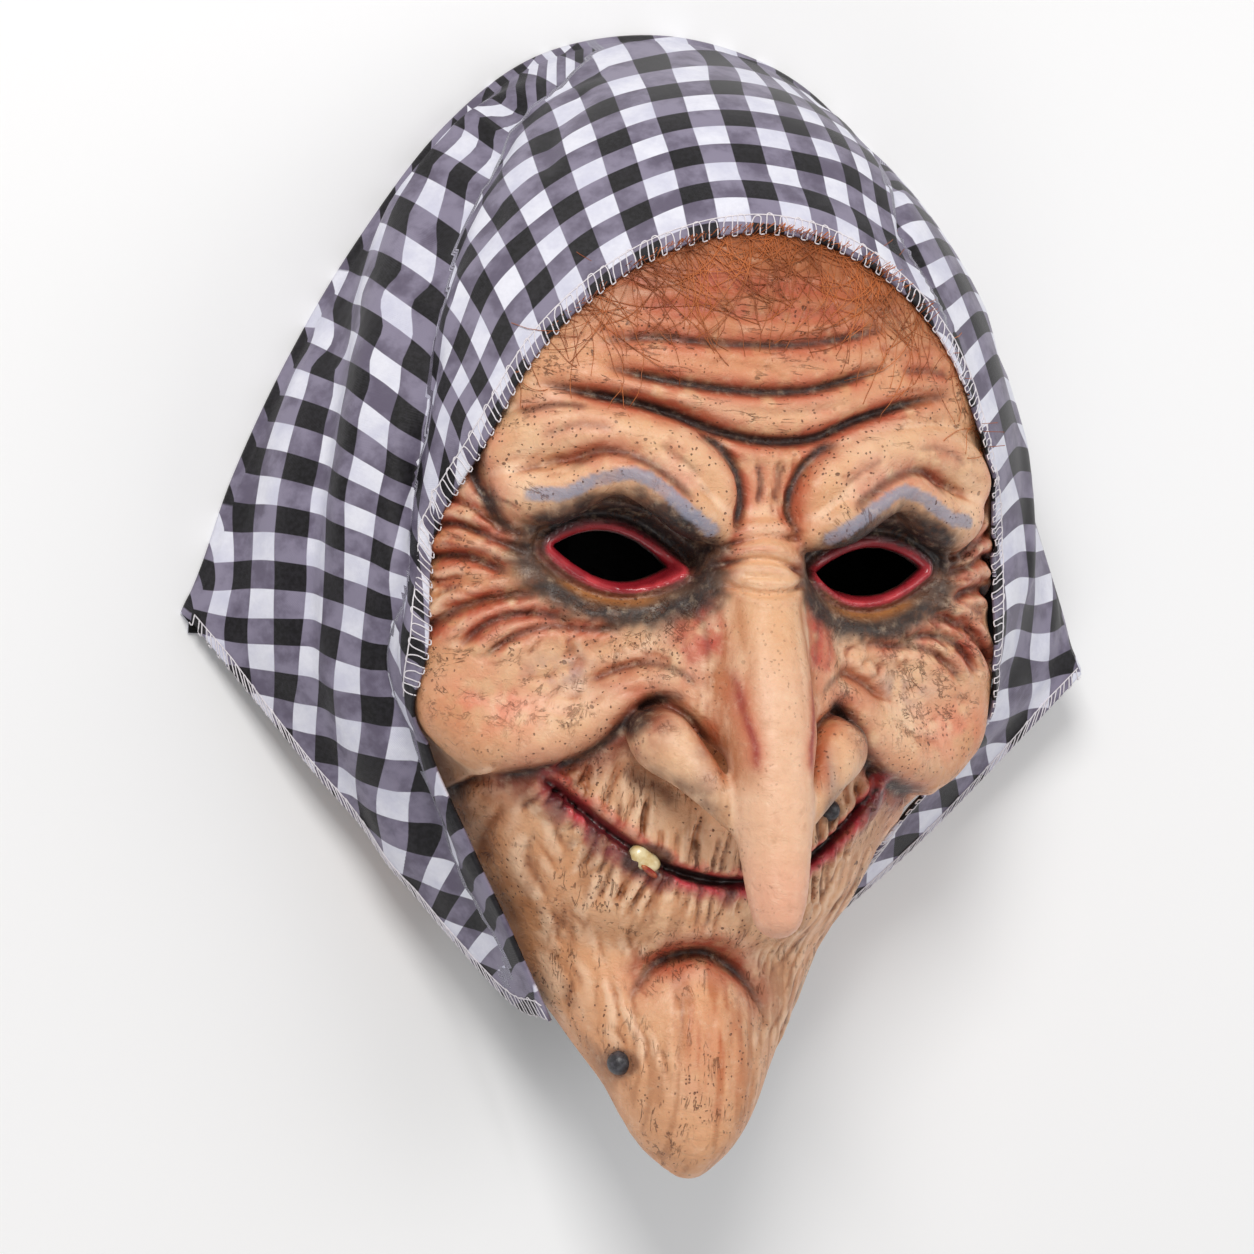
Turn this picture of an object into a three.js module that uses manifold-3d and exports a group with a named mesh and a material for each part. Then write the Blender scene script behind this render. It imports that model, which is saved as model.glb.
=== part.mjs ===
// Witch mask: a hollow latex face under a cloth headscarf, lying on its back.
// Millimetres. +X is the wearer's left, +Y points to the crown and +Z out of the face. The floor is z = 0.
import * as THREE from 'three';
import { mergeVertices } from 'three/addons/utils/BufferGeometryUtils.js';
import Module from 'manifold-3d';

const wasm = await Module();
wasm.setup();

// Driving dimensions
const LATEX_WALL = 2.8;
const LEAST_WALL = 1.2;
const CLOTH = 1.2;
const EYE_INNER = [19, 9.5];
const EYE_OUTER = [48, 13];
const EYE_TOP = 17.2;
const EYE_BOTTOM = 5.4;
const TOOTH = { at: [-20, -61], size: [3.7, 2.6, 2.6], turn: -33 };
const MOLES = [{ at: [-19.5, -112], radius: 3.1 }, { at: [27, -47.5], radius: 2.7 }];

// Base of the face by height up it, as [y, value]
const SIDE_WALL = [[-139.5, 0], [-136, 7.5], [-128, 14], [-115, 23], [-100, 32], [-87, 39.5], [-73, 47.5],
  [-58, 56], [-40, 67], [-20, 77], [0, 80], [25, 79.5], [50, 75.5], [75, 67], [95, 55], [110, 40], [118, 24],
  [122, 0]];
const FRONT = [[-141, 64], [-130, 69], [-115, 68], [-100, 64], [-84, 60], [-70, 68], [-50, 72], [-35, 75],
  [-20, 79], [0, 82], [10, 84], [30, 87], [42, 87], [55, 89], [75, 87], [91, 81], [100, 76], [115, 62],
  [125, 40]];
const DROP = [[-141, 8], [-115, 12], [-85, 14], [-60, 20], [-40, 22], [0, 28], [60, 28], [125, 24]];
const ROUNDING = [[-141, 8], [-115, 10], [-80, 16], [-40, 23], [60, 24], [125, 32]];
const DROP_POWER = 2.2;

// Facets: the steepest slope between rays, the flattest angle of a ray to the surface that the hollow allows
// for, and how much coarser the hollow is than the outside
const STEEPEST_DROP = 1.7;
const FLATTEST = 0.4;
const HOLLOW_COARSENESS = 1.7;

// The latex edge, as [y, z]: near the floor under the cloth, and rising along the jaw to the chin
const RIM = [[-150, 60], [-141, 60], [-118, 51], [-100, 38], [-83, 18.5], [-64, 2.2], [150, 2.2]];

// Forms on the wearer's left, mirrored to the right, as [x, y, lift over the base, radius]
const BROW_TOP = [[60, 35, -6, 8], [50, 40.5, -4, 8], [36, 40.5, -2.5, 7], [23, 37, -1.5, 6.5],
  [13.5, 30, -1, 5.5], [12.5, 23, -1.5, 4.5]];
const BROW_LOW = [[58, 26, -4, 7], [50, 25.5, -2, 7], [42, 31, -1, 6], [35, 33, 0, 6], [28, 29.5, 1, 6],
  [20, 23.5, 2, 6], [13.5, 20.5, 1.5, 4.5]];
const UNDER_EYE = [[54, 7, -7, 4], [45, 0, -6, 4.5], [34, -3.5, -5, 4.5], [24, -1, -5, 4], [16, 5, -5, 3.5]];
const CHEEK_FOLD = [[15, -16, -2, 6], [25, -21, -1, 6.5], [35, -28, 0, 7.5], [46, -33, 0, 8.5],
  [57, -33, -2, 9], [64, -27, -5, 9]];

// Nose, as [x, y, z, radius]; the last stretch hangs free of the face
const NOSE = [[0, 14, 83, 9], [0, 2, 87, 9.5], [0, -12, 92, 10.5], [0, -27, 97, 11.3], [0, -43, 102, 10.2],
  [0, -57, 106, 8.6], [0, -68, 109, 7.2]];
const NOSE_RIDGE_POINTS = 4;
const NOSE_SIDE = [[6, 8, 80, 6], [11, -8, 82, 8], [14, -22, 84, 9], [14, -32, 88, 8]];
const NOSTRIL = [[21, -31, 82, 8.5], [20.5, -34, 85, 8.5], [15, -40, 92, 6.5], [8, -49, 99, 5.5]];

// Creases, as [x, y] points with a depth and a width
const FOREHEAD_CREASES = [
  { path: [[-44, 62], [-30, 64], [-14, 63.5], [5, 64.5], [20, 67.5], [32, 71]], depth: 2, width: 2.6 },
  { path: [[-42, 56.5], [-27, 54], [-8, 52.5], [7, 53.5], [18, 56.5], [33, 62]], depth: 2.6, width: 2.6 },
  { path: [[-56, 52], [-45, 50], [-35, 48.5], [-24, 46], [-12, 42.5], [0, 41], [12, 42.5], [23, 47.5],
    [39, 53], [53, 55]], depth: 3.4, width: 2.8 },
];
const MOUTH = { path: [[-45, -43], [-36, -49.5], [-28, -55.5], [-18, -61.5], [-8, -65], [2, -66], [12, -64.5],
  [23, -59.5], [32, -52], [41, -42]], depth: 3, width: 2.6 };
const CHIN_CREASE = { path: [[-20.5, -99], [-15.5, -92], [-8, -86], [-1, -84], [6, -86.5], [13, -93],
  [18.5, -102]], depth: 3.6, width: 3 };

const clamp = (v, lo, hi) => Math.min(Math.max(v, lo), hi);

// A smooth curve through [position, value] stations
function profile(stations) {
  const curve = new THREE.SplineCurve(stations.map(([at, value]) => new THREE.Vector2(at, value)));
  const points = curve.getPoints(stations.length * 6);
  return (at) => {
    let i = 0;
    while (i < points.length - 2 && points[i + 1].x < at) i += 1;
    const share = clamp((at - points[i].x) / (points[i + 1].x - points[i].x), 0, 1);
    return points[i].y + (points[i + 1].y - points[i].y) * share;
  };
}

const wallAt = profile(SIDE_WALL);
const frontAt = profile(FRONT);
const dropAt = profile(DROP);
const roundingAt = profile(ROUNDING);
const OUTLINE = new THREE.CatmullRomCurve3([
  ...SIDE_WALL.map(([y, x]) => new THREE.Vector3(x, y, 0)),
  ...SIDE_WALL.slice(1, -1).reverse().map(([y, x]) => new THREE.Vector3(-x, y, 0)),
], true, 'catmullrom').getPoints(160);

function smoothMin(a, b, k) {
  const h = clamp(0.5 + 0.5 * (b - a) / k, 0, 1);
  return b + (a - b) * h - k * h * (1 - h);
}

const smoothMax = (a, b, k) => -smoothMin(-a, -b, k);

// Distance in the face's plane from (x, y) to a polyline of Vector2
function lineDistance(x, y, points) {
  let best = Infinity;
  for (let i = 0; i < points.length - 1; i += 1) {
    const ex = points[i + 1].x - points[i].x;
    const ey = points[i + 1].y - points[i].y;
    const t = clamp(((x - points[i].x) * ex + (y - points[i].y) * ey) / (ex * ex + ey * ey), 0, 1);
    best = Math.min(best, Math.hypot(x - points[i].x - ex * t, y - points[i].y - ey * t));
  }
  return best;
}

// Signed distance in the face's plane to the outline of the side wall
function wallDistance(x, y) {
  let inside = false;
  for (let i = 0; i < OUTLINE.length - 1; i += 1) {
    const a = OUTLINE[i];
    const b = OUTLINE[i + 1];
    if ((a.y > y) !== (b.y > y) && x < a.x + (b.x - a.x) * (y - a.y) / (b.y - a.y)) inside = !inside;
  }
  return lineDistance(x, y, OUTLINE) * (inside ? -1 : 1);
}

function frontZ(x, y) {
  const share = Math.min(Math.abs(x) / Math.max(wallAt(y), 8), 1.25);
  return frontAt(y) - dropAt(y) * share ** DROP_POWER;
}

function baseDistance(p) {
  const e = 0.5;
  const z = frontZ(p.x, p.y);
  const slope = Math.hypot(1, (frontZ(p.x + e, p.y) - z) / e, (frontZ(p.x, p.y + e) - z) / e);
  return smoothMax((p.z - z) / slope, wallDistance(p.x, p.y), roundingAt(p.y));
}

// Samples of a round roll along a curve, each with its centre and radius
function roll(rows, side = 1, perSpan = 4) {
  const curve = new THREE.CatmullRomCurve3(
    rows.map(([x, y, z]) => new THREE.Vector3(x * side, y, z)), false, 'catmullrom');
  const radii = new THREE.SplineCurve(rows.map((row, i) => new THREE.Vector2(i, row[3])));
  const steps = (rows.length - 1) * perSpan;
  const samples = [];
  for (let i = 0; i <= steps; i += 1) {
    samples.push({ centre: curve.getPoint(i / steps), radius: radii.getPoint(i / steps).y });
  }
  return samples;
}

const lifted = (rows) => rows.map(([x, y, lift, r]) => [x, y, frontZ(x, y) + lift, r]);

function rollDistance(p, samples) {
  let best = Infinity;
  for (let i = 0; i < samples.length - 1; i += 1) {
    const a = samples[i].centre;
    const b = samples[i + 1].centre;
    const ex = b.x - a.x;
    const ey = b.y - a.y;
    const ez = b.z - a.z;
    const along = (p.x - a.x) * ex + (p.y - a.y) * ey + (p.z - a.z) * ez;
    const t = clamp(along / (ex * ex + ey * ey + ez * ez), 0, 1);
    const radius = samples[i].radius + (samples[i + 1].radius - samples[i].radius) * t;
    best = Math.min(best, Math.hypot(p.x - a.x - ex * t, p.y - a.y - ey * t, p.z - a.z - ez * t) - radius);
  }
  return best;
}

function ellipsoidDistance(p, [cx, cy, cz], [rx, ry, rz]) {
  const x = p.x - cx;
  const y = p.y - cy;
  const z = p.z - cz;
  const near = Math.hypot(x / rx, y / ry, z / rz);
  const far = Math.hypot(x / rx ** 2, y / ry ** 2, z / rz ** 2);
  return near * (near - 1) / Math.max(far, 1e-9);
}

const SIDES = [-1, 1];
const ridge = roll(NOSE.slice(0, NOSE_RIDGE_POINTS));
const sideForms = SIDES.map((side) => ({
  side,
  browTop: roll(lifted(BROW_TOP), side),
  browLow: roll(lifted(BROW_LOW), side),
  underEye: roll(lifted(UNDER_EYE), side),
  cheekFold: roll(lifted(CHEEK_FOLD), side),
  noseSide: roll(NOSE_SIDE, side),
  nostril: roll(NOSTRIL.slice(0, 3), side),
}));
const creases = [...FOREHEAD_CREASES, MOUTH, CHIN_CREASE].map((crease) => ({
  ...crease,
  points: new THREE.SplineCurve(crease.path.map(([x, y]) => new THREE.Vector2(x, y))).getPoints(40),
}));

// Signed distance from p to the face without its hanging nose; soft makes the creases wider
function faceDistance(p, soft) {
  let d = baseDistance(p);
  for (const { side, underEye, cheekFold } of sideForms) {
    const socket = [35 * side, 12, frontZ(35, 12) + 3];
    d = smoothMax(d, -ellipsoidDistance(p, socket, [24, 14.5, 13]), 6);
    d = smoothMin(d, ellipsoidDistance(p, [33.5 * side, 10.5, 60], [20, 12.5, 15]), 2);
    d = smoothMin(d, rollDistance(p, underEye), 4);
    d = smoothMin(d, ellipsoidDistance(p, [50 * side, -14, 48], [27, 25, 21]), 8);
    d = smoothMin(d, rollDistance(p, cheekFold), 7);
  }
  d = smoothMin(d, ellipsoidDistance(p, [0, -50, 56], [36, 24, 22]), 8);
  d = smoothMin(d, ellipsoidDistance(p, [0, -72, 56], [30, 12, 16]), 6);
  d = smoothMin(d, ellipsoidDistance(p, [0, -113, 54], [21, 27, 17]), 6);
  for (const { points, depth, width } of creases) {
    const wide = width * (soft ? 2 : 1);
    const r = lineDistance(p.x, p.y, points);
    if (r < 4 * wide) {
      d += depth * Math.exp(-((r / wide) ** 2));
    }
  }
  for (const { browTop, browLow } of sideForms) {
    d = smoothMin(d, smoothMin(rollDistance(p, browTop), rollDistance(p, browLow), 2.5), 2);
  }
  let nose = rollDistance(p, ridge);
  for (const { noseSide } of sideForms) {
    nose = smoothMin(nose, rollDistance(p, noseSide), 6);
  }
  d = smoothMin(d, nose, 5);
  for (const { nostril } of sideForms) {
    d = smoothMin(d, rollDistance(p, nostril), 2.2);
  }
  return d;
}

// Height of the face's surface over (x, y)
function surfaceZ(x, y) {
  const p = new THREE.Vector3(x, y, 110);
  for (let step = 0; step < 60; step += 1) p.z -= faceDistance(p, false) * 0.7;
  return p.z;
}

// A closed solid from quads and triangles given as Vector3 corners, with shared corners merged
class Facets {
  constructor() {
    this.positions = [];
  }

  triangle(a, b, c) {
    for (const v of [a, b, c]) this.positions.push(v.x, v.y, v.z);
  }

  quad(a, b, c, d) {
    this.triangle(a, b, c);
    this.triangle(a, c, d);
  }

  geometry() {
    const geometry = new THREE.BufferGeometry();
    geometry.setAttribute('position', new THREE.Float32BufferAttribute(this.positions, 3));
    return geometry;
  }
}

// Merges a geometry's shared corners, drops triangles without an area and makes it a solid to join and cut
function solid(geometry) {
  const bare = geometry.clone();
  bare.deleteAttribute('normal');
  bare.deleteAttribute('uv');
  const merged = mergeVertices(bare, 1e-4);
  const index = merged.index.array;
  const kept = [];
  for (let i = 0; i < index.length; i += 3) {
    const [a, b, c] = [index[i], index[i + 1], index[i + 2]];
    if (a !== b && b !== c && c !== a) kept.push(a, b, c);
  }
  const mesh = new wasm.Mesh({
    numProp: 3,
    vertProperties: new Float32Array(merged.attributes.position.array),
    triVerts: new Uint32Array(kept),
  });
  mesh.merge();
  return new wasm.Manifold(mesh);
}

function geometryOf(body) {
  const mesh = body.getMesh();
  const geometry = new THREE.BufferGeometry();
  geometry.setAttribute('position', new THREE.BufferAttribute(new Float32Array(mesh.vertProperties), 3));
  geometry.setIndex(new THREE.BufferAttribute(new Uint32Array(mesh.triVerts), 1));
  return geometry;
}

// The slices that rays leave in: a centre on the middle line, and the tilt of the slice towards crown or chin
const CROWN_CENTRE = { y: 70, z: -6 };
const CHIN_CENTRE = { y: -96, z: 12 };
const CENTRE_RISE = 4;
const CROWN_SLICES = 8;
const CHIN_SLICES = 8;
// Upright slices, as [from y, to y, spacing]
const UPRIGHT_SLICES = [[70, 40, 3], [40, -30, 4], [-30, -96, 5]];

function slices(coarseness) {
  const list = [];
  const crownSlices = Math.round(CROWN_SLICES / coarseness);
  const chinSlices = Math.round(CHIN_SLICES / coarseness);
  for (let i = 0; i < crownSlices; i += 1) {
    list.push({ ...CROWN_CENTRE, tilt: Math.PI / 2 * (1 - i / crownSlices) });
  }
  for (const [from, to, spacing] of UPRIGHT_SLICES) {
    const count = Math.round((from - to) / (spacing * coarseness));
    for (let i = 0; i < count; i += 1) {
      const y = from + (to - from) * i / count;
      const share = (CROWN_CENTRE.y - y) / (CROWN_CENTRE.y - CHIN_CENTRE.y);
      list.push({ y, z: CROWN_CENTRE.z + (CHIN_CENTRE.z - CROWN_CENTRE.z) * share ** CENTRE_RISE, tilt: 0 });
    }
  }
  for (let i = 0; i <= chinSlices; i += 1) {
    list.push({ ...CHIN_CENTRE, tilt: -Math.PI / 2 * i / chinSlices });
  }
  return list;
}

// The turns of the rays in a slice: close together over the front of the face, wider apart on the side wall
const FRONT_TURN = THREE.MathUtils.degToRad(34);
const FRONT_STEPS = 12;
const SIDE_STEPS = 5;

function turns(coarseness) {
  const half = [];
  const frontSteps = Math.round(FRONT_STEPS / coarseness);
  const sideSteps = Math.round(SIDE_STEPS / coarseness);
  for (let i = 1; i <= frontSteps; i += 1) half.push(Math.atan(Math.tan(FRONT_TURN) * i / frontSteps));
  for (let i = 1; i <= sideSteps; i += 1) {
    half.push(FRONT_TURN + (Math.PI / 2 - FRONT_TURN) * i / sideSteps);
  }
  return [...half.map((turn) => -turn).reverse(), 0, ...half];
}

function rayPoint(slice, turn, reach) {
  const flat = Math.cos(turn) * reach;
  return new THREE.Vector3(
    Math.sin(turn) * reach, slice.y + Math.sin(slice.tilt) * flat, slice.z + Math.cos(slice.tilt) * flat);
}

// How far out along a ray the shape reaches
function reachOf(slice, turn, distance) {
  const farthest = 160;
  let clear = farthest;
  let sunk = farthest;
  while (sunk > 1) {
    const gap = distance(rayPoint(slice, turn, sunk));
    if (gap < 0) break;
    clear = sunk;
    sunk -= Math.max(gap * 0.5, 0.5);
  }
  for (let halving = 0; halving < 8; halving += 1) {
    const middle = (clear + sunk) / 2;
    if (distance(rayPoint(slice, turn, middle)) > 0) clear = middle;
    else sunk = middle;
  }
  return sunk;
}

// The way out of the face at a point near its surface
function wayOut(point, soft) {
  const e = 0.5;
  const d = faceDistance(point, soft);
  return new THREE.Vector3(
    faceDistance(point.clone().setX(point.x + e), soft) - d,
    faceDistance(point.clone().setY(point.y + e), soft) - d,
    faceDistance(point.clone().setZ(point.z + e), soft) - d,
  ).normalize();
}

// The reach of the hollow along a ray: the wall's thickness is measured square to the surface
function hollowReach(slice, turn) {
  const reach = reachOf(slice, turn, (p) => faceDistance(p, true));
  const along = rayPoint(slice, turn, 1).sub(rayPoint(slice, turn, 0));
  const square = along.dot(wayOut(rayPoint(slice, turn, reach), true));
  return reach - LATEX_WALL / Math.max(square, FLATTEST);
}

const BESIDE = [[-1, 0], [1, 0], [0, -1], [0, 1]];

// Fills the foot of a drop that is steeper than the facets can follow
function easeDrops(list, fan, reach) {
  let eased = reach;
  for (let pass = 0; pass < 4; pass += 1) {
    const before = eased;
    eased = before.map((row, i) => row.map((value, j) => {
      let filled = value;
      for (const [di, dj] of BESIDE) {
        const near = before[i + di]?.[j + dj];
        if (near === undefined) continue;
        const apart = rayPoint(list[i], fan[j], near).distanceTo(rayPoint(list[i + di], fan[j + dj], near));
        filled = Math.max(filled, near - STEEPEST_DROP * apart);
      }
      return filled;
    }));
  }
  return eased;
}

// Holds each reach back from the dips around it, so that the wall is nowhere thinner than its least
function holdBack(reach) {
  const spare = LATEX_WALL - LEAST_WALL;
  return reach.map((row, i) => row.map((value, j) => (
    Math.min(value, ...BESIDE.map(([di, dj]) => (reach[i + di]?.[j + dj] ?? value) + spare)))));
}

// A closed skin from the reach of every ray: the rays fan out in every slice, and a flat bed closes it behind
function skin(list, fan, reach) {
  const rows = list.map((slice, i) => fan.map((turn, j) => rayPoint(slice, turn, reach[i][j])));
  const centres = list.map(({ y, z }) => new THREE.Vector3(0, y, z));
  const last = fan.length - 1;
  const facets = new Facets();
  for (let i = 0; i < rows.length - 1; i += 1) {
    for (let j = 0; j < last; j += 1) {
      facets.quad(rows[i][j], rows[i + 1][j], rows[i + 1][j + 1], rows[i][j + 1]);
    }
    facets.quad(rows[i][0], centres[i], centres[i + 1], rows[i + 1][0]);
    facets.quad(centres[i], rows[i][last], rows[i + 1][last], centres[i + 1]);
  }
  for (let j = 0; j < last; j += 1) {
    facets.triangle(centres[0], rows[0][j], rows[0][j + 1]);
    facets.triangle(centres.at(-1), rows.at(-1)[j + 1], rows.at(-1)[j]);
  }
  return solid(facets.geometry());
}

function outerSkin() {
  const list = slices(1);
  const fan = turns(1);
  const reach = list.map((slice) => fan.map((turn) => reachOf(slice, turn, (p) => faceDistance(p, false))));
  return skin(list, fan, easeDrops(list, fan, reach));
}

function innerSkin() {
  const list = slices(HOLLOW_COARSENESS / 2);
  const fan = turns(HOLLOW_COARSENESS / 2);
  const reach = holdBack(list.map((slice) => fan.map((turn) => hollowReach(slice, turn))));
  const every = (values) => values.filter((value, i) => i % 2 === 0 || i === values.length - 1);
  return skin(every(list), every(fan), every(reach).map(every));
}

// A roll as a closed solid with rounded ends
function rollSolid(samples, sides, shrink = 0) {
  const rings = [];
  const first = samples[0];
  const last = samples.at(-1);
  const capSteps = 3;
  const ahead = (i) => samples[Math.min(i + 1, samples.length - 1)].centre.clone()
    .sub(samples[Math.max(i - 1, 0)].centre).normalize();
  const addRing = (centre, along, radius) => {
    const across = new THREE.Vector3(1, 0, 0).addScaledVector(along, -along.x).normalize();
    const up = new THREE.Vector3().crossVectors(along, across);
    const ring = [];
    for (let k = 0; k < sides; k += 1) {
      const a = 2 * Math.PI * k / sides;
      const aside = centre.clone().addScaledVector(across, radius * Math.cos(a));
      ring.push(aside.addScaledVector(up, radius * Math.sin(a)));
    }
    rings.push(ring);
  };
  const cap = (sample, along, sign) => {
    const radius = sample.radius - shrink;
    for (let k = 1; k < capSteps; k += 1) {
      const a = Math.PI / 2 * (sign < 0 ? k : capSteps - k) / capSteps;
      const centre = sample.centre.clone().addScaledVector(along, sign * radius * Math.cos(a));
      addRing(centre, along, radius * Math.sin(a));
    }
  };
  cap(first, ahead(0), -1);
  samples.forEach((sample, i) => addRing(sample.centre, ahead(i), sample.radius - shrink));
  cap(last, ahead(samples.length - 1), 1);
  const start = first.centre.clone().addScaledVector(ahead(0), -(first.radius - shrink));
  const end = last.centre.clone().addScaledVector(ahead(samples.length - 1), last.radius - shrink);
  const facets = new Facets();
  for (let k = 0; k < sides; k += 1) {
    const next = (k + 1) % sides;
    facets.triangle(start, rings[0][next], rings[0][k]);
    for (let i = 0; i < rings.length - 1; i += 1) {
      facets.quad(rings[i][k], rings[i][next], rings[i + 1][next], rings[i + 1][k]);
    }
    facets.triangle(rings.at(-1)[k], rings.at(-1)[next], end);
  }
  return solid(facets.geometry());
}

// Everything under the latex edge, as a block cut off by the edge's line
function underRim() {
  const depth = 60;
  const width = 200;
  const shape = new THREE.Shape(RIM.map(([y, z]) => new THREE.Vector2(y, z)));
  shape.lineTo(RIM.at(-1)[0], -depth);
  shape.lineTo(RIM[0][0], -depth);
  const geometry = new THREE.ExtrudeGeometry(shape, { depth: width, bevelEnabled: false });
  geometry.applyMatrix4(new THREE.Matrix4().set(0, 0, 1, -width / 2, 1, 0, 0, 0, 0, 1, 0, 0, 0, 0, 0, 1));
  return solid(geometry);
}

// The almond-shaped eye hole as a block through the face
function eyeHole(side) {
  const from = 45;
  const length = 60;
  const middle = (EYE_INNER[0] + EYE_OUTER[0]) / 2;
  const level = (EYE_INNER[1] + EYE_OUTER[1]) / 2;
  const shape = new THREE.Shape();
  shape.moveTo(...EYE_INNER);
  shape.quadraticCurveTo(middle, 2 * EYE_BOTTOM - level, ...EYE_OUTER);
  shape.quadraticCurveTo(middle, 2 * EYE_TOP - level, ...EYE_INNER);
  const geometry = new THREE.ExtrudeGeometry(shape, { depth: length, bevelEnabled: false, curveSegments: 8 });
  geometry.translate(0, 0, from);
  if (side < 0) {
    geometry.applyMatrix4(new THREE.Matrix4().makeRotationY(Math.PI));
    geometry.translate(0, 0, 2 * from + length);
  }
  return solid(geometry);
}

// A ball half sunk in the face
function ball([x, y], [rx, ry, rz], turn = 0) {
  const z = surfaceZ(x, y);
  const geometry = new THREE.SphereGeometry(1, 8, 6);
  geometry.scale(rx, ry, rz);
  geometry.rotateZ(THREE.MathUtils.degToRad(turn));
  geometry.translate(x, y, z);
  return solid(geometry);
}

function latexFace() {
  const noseTip = roll(NOSE.slice(NOSE_RIDGE_POINTS - 2), 1, 3);
  const noseAll = roll(NOSE, 1, 2);
  let outside = outerSkin().add(rollSolid(noseTip, 14));
  let inside = innerSkin().add(rollSolid(noseAll, 10, LATEX_WALL));
  for (const side of SIDES) {
    outside = outside.add(rollSolid(roll(NOSTRIL, side, 2), 10));
    inside = inside.add(rollSolid(roll(NOSTRIL.slice(0, 3), side, 2), 8, LATEX_WALL + 1));
  }
  outside = outside.add(ball(TOOTH.at, TOOTH.size, TOOTH.turn));
  for (const { at, radius } of MOLES) {
    outside = outside.add(ball(at, [radius, radius, radius]));
  }
  let shell = outside.subtract(underRim()).subtract(inside);
  for (const side of SIDES) {
    shell = shell.subtract(eyeHole(side));
  }
  return geometryOf(shell);
}

// The scarf from the crown down: its front hem on the face, where it leaves the face's edge, and where it
// folds under. A hem without a z lies on the face, and a fold without a z on the floor.
const SCARF_HEM = [[0, 91.5], [22, 87], [41, 75.5], [56, 58], [66, 37], [73, 14], [74, -12]];
const SCARF_SHOULDER = [[0, 122, 54], [25, 118, 54], [47, 104, 54], [65, 82, 54], [78, 55, 52],
  [84.5, 23, 49], [85, -6, 45]];
const SCARF_EDGE = [[0, 144.3], [33, 137], [57.5, 117], [79, 86]];
// On the wearer's right it lies beside the jaw with its fold on the floor
const RIGHT_END = {
  hem: [[-71, -34, 52], [-56, -62, 49], [-33, -103, 46]],
  shoulder: [[-79, -33, 38], [-64, -60, 31], [-45, -92, 24]],
  edge: [[-95, 56], [-107, 27], [-113.6, 5], [-116.2, -2.5], [-117.8, -6], [-119, -9]],
};
// On the wearer's left its end passes under the cheek and its fold stands a little off the floor
const LEFT_END = {
  hem: [[71, -34, 50], [62, -56, 36], [50, -82, 17]],
  shoulder: [[80, -30, 38], [76, -43, 26], [78, -53.5, 16]],
  edge: [[93, 56, 9], [103.5, 26, 12.5], [111.5, 5, 13.5], [114.5, -4, 14], [116, -7.5, 14],
    [117.5, -10.5, 14]],
};
const SCARF_COLUMNS = 36;
const FLANK_ROWS = 6;
const FOLD_RADIUS = 2.4;
const PANEL_ROWS = 2;
const REAR_HEM_Y = -13;
const CLOTH_GAP = 1;

// A curve across the scarf, from its end on the wearer's right over the crown to its end on the left
function scarfCurve(shared, rightEnd, leftEnd, lift) {
  const point = ([x, y, z]) => new THREE.Vector3(x, y, z ?? lift ?? surfaceZ(x, y) + CLOTH_GAP + CLOTH);
  const right = [...shared.slice(1).map(([x, ...rest]) => [-x, ...rest]), ...rightEnd].reverse();
  return new THREE.CatmullRomCurve3([...right, ...shared, ...leftEnd].map(point), false, 'centripetal');
}

// Moves a point of the cloth's middle out until the cloth clears the face
function clearOfFace(point) {
  const least = CLOTH / 2 + CLOTH_GAP;
  for (let step = 0; step < 6; step += 1) {
    const d = faceDistance(point, false);
    if (d >= least) break;
    point.addScaledVector(wayOut(point, false), least - d);
  }
  return point;
}

// The middle of the cloth, as columns of points from the front hem over the fold to the rear hem
function scarfColumns() {
  const hem = scarfCurve(SCARF_HEM, RIGHT_END.hem, LEFT_END.hem);
  const shoulder = scarfCurve(SCARF_SHOULDER, RIGHT_END.shoulder, LEFT_END.shoulder);
  const edge = scarfCurve(SCARF_EDGE, RIGHT_END.edge, LEFT_END.edge, CLOTH / 2);
  const columns = [];
  for (let i = 0; i <= SCARF_COLUMNS; i += 1) {
    const t = i / SCARF_COLUMNS;
    const start = hem.getPoint(t);
    const bend = shoulder.getPoint(t);
    const foot = edge.getPoint(t);
    foot.z = Math.max(foot.z, CLOTH / 2);
    const out = foot.clone().sub(bend).setZ(0).normalize();
    const foldTop = foot.clone().addScaledVector(out, -FOLD_RADIUS * 0.4).setZ(foot.z + FOLD_RADIUS * 1.4);
    const flank = new THREE.CatmullRomCurve3([start, bend, foldTop], false, 'centripetal');
    const column = flank.getPoints(FLANK_ROWS).map(clearOfFace);
    const tip = foot.clone().addScaledVector(out, FOLD_RADIUS * 0.1).setZ(foot.z + FOLD_RADIUS * 0.45);
    const landing = foot.clone().addScaledVector(out, -FOLD_RADIUS * 0.6);
    column.push(tip, landing);
    const rearHem = new THREE.Vector3(landing.x, REAR_HEM_Y, CLOTH / 2);
    for (let k = 1; k <= PANEL_ROWS; k += 1) column.push(landing.clone().lerp(rearHem, k / PANEL_ROWS));
    columns.push(column);
  }
  return columns;
}

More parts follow.
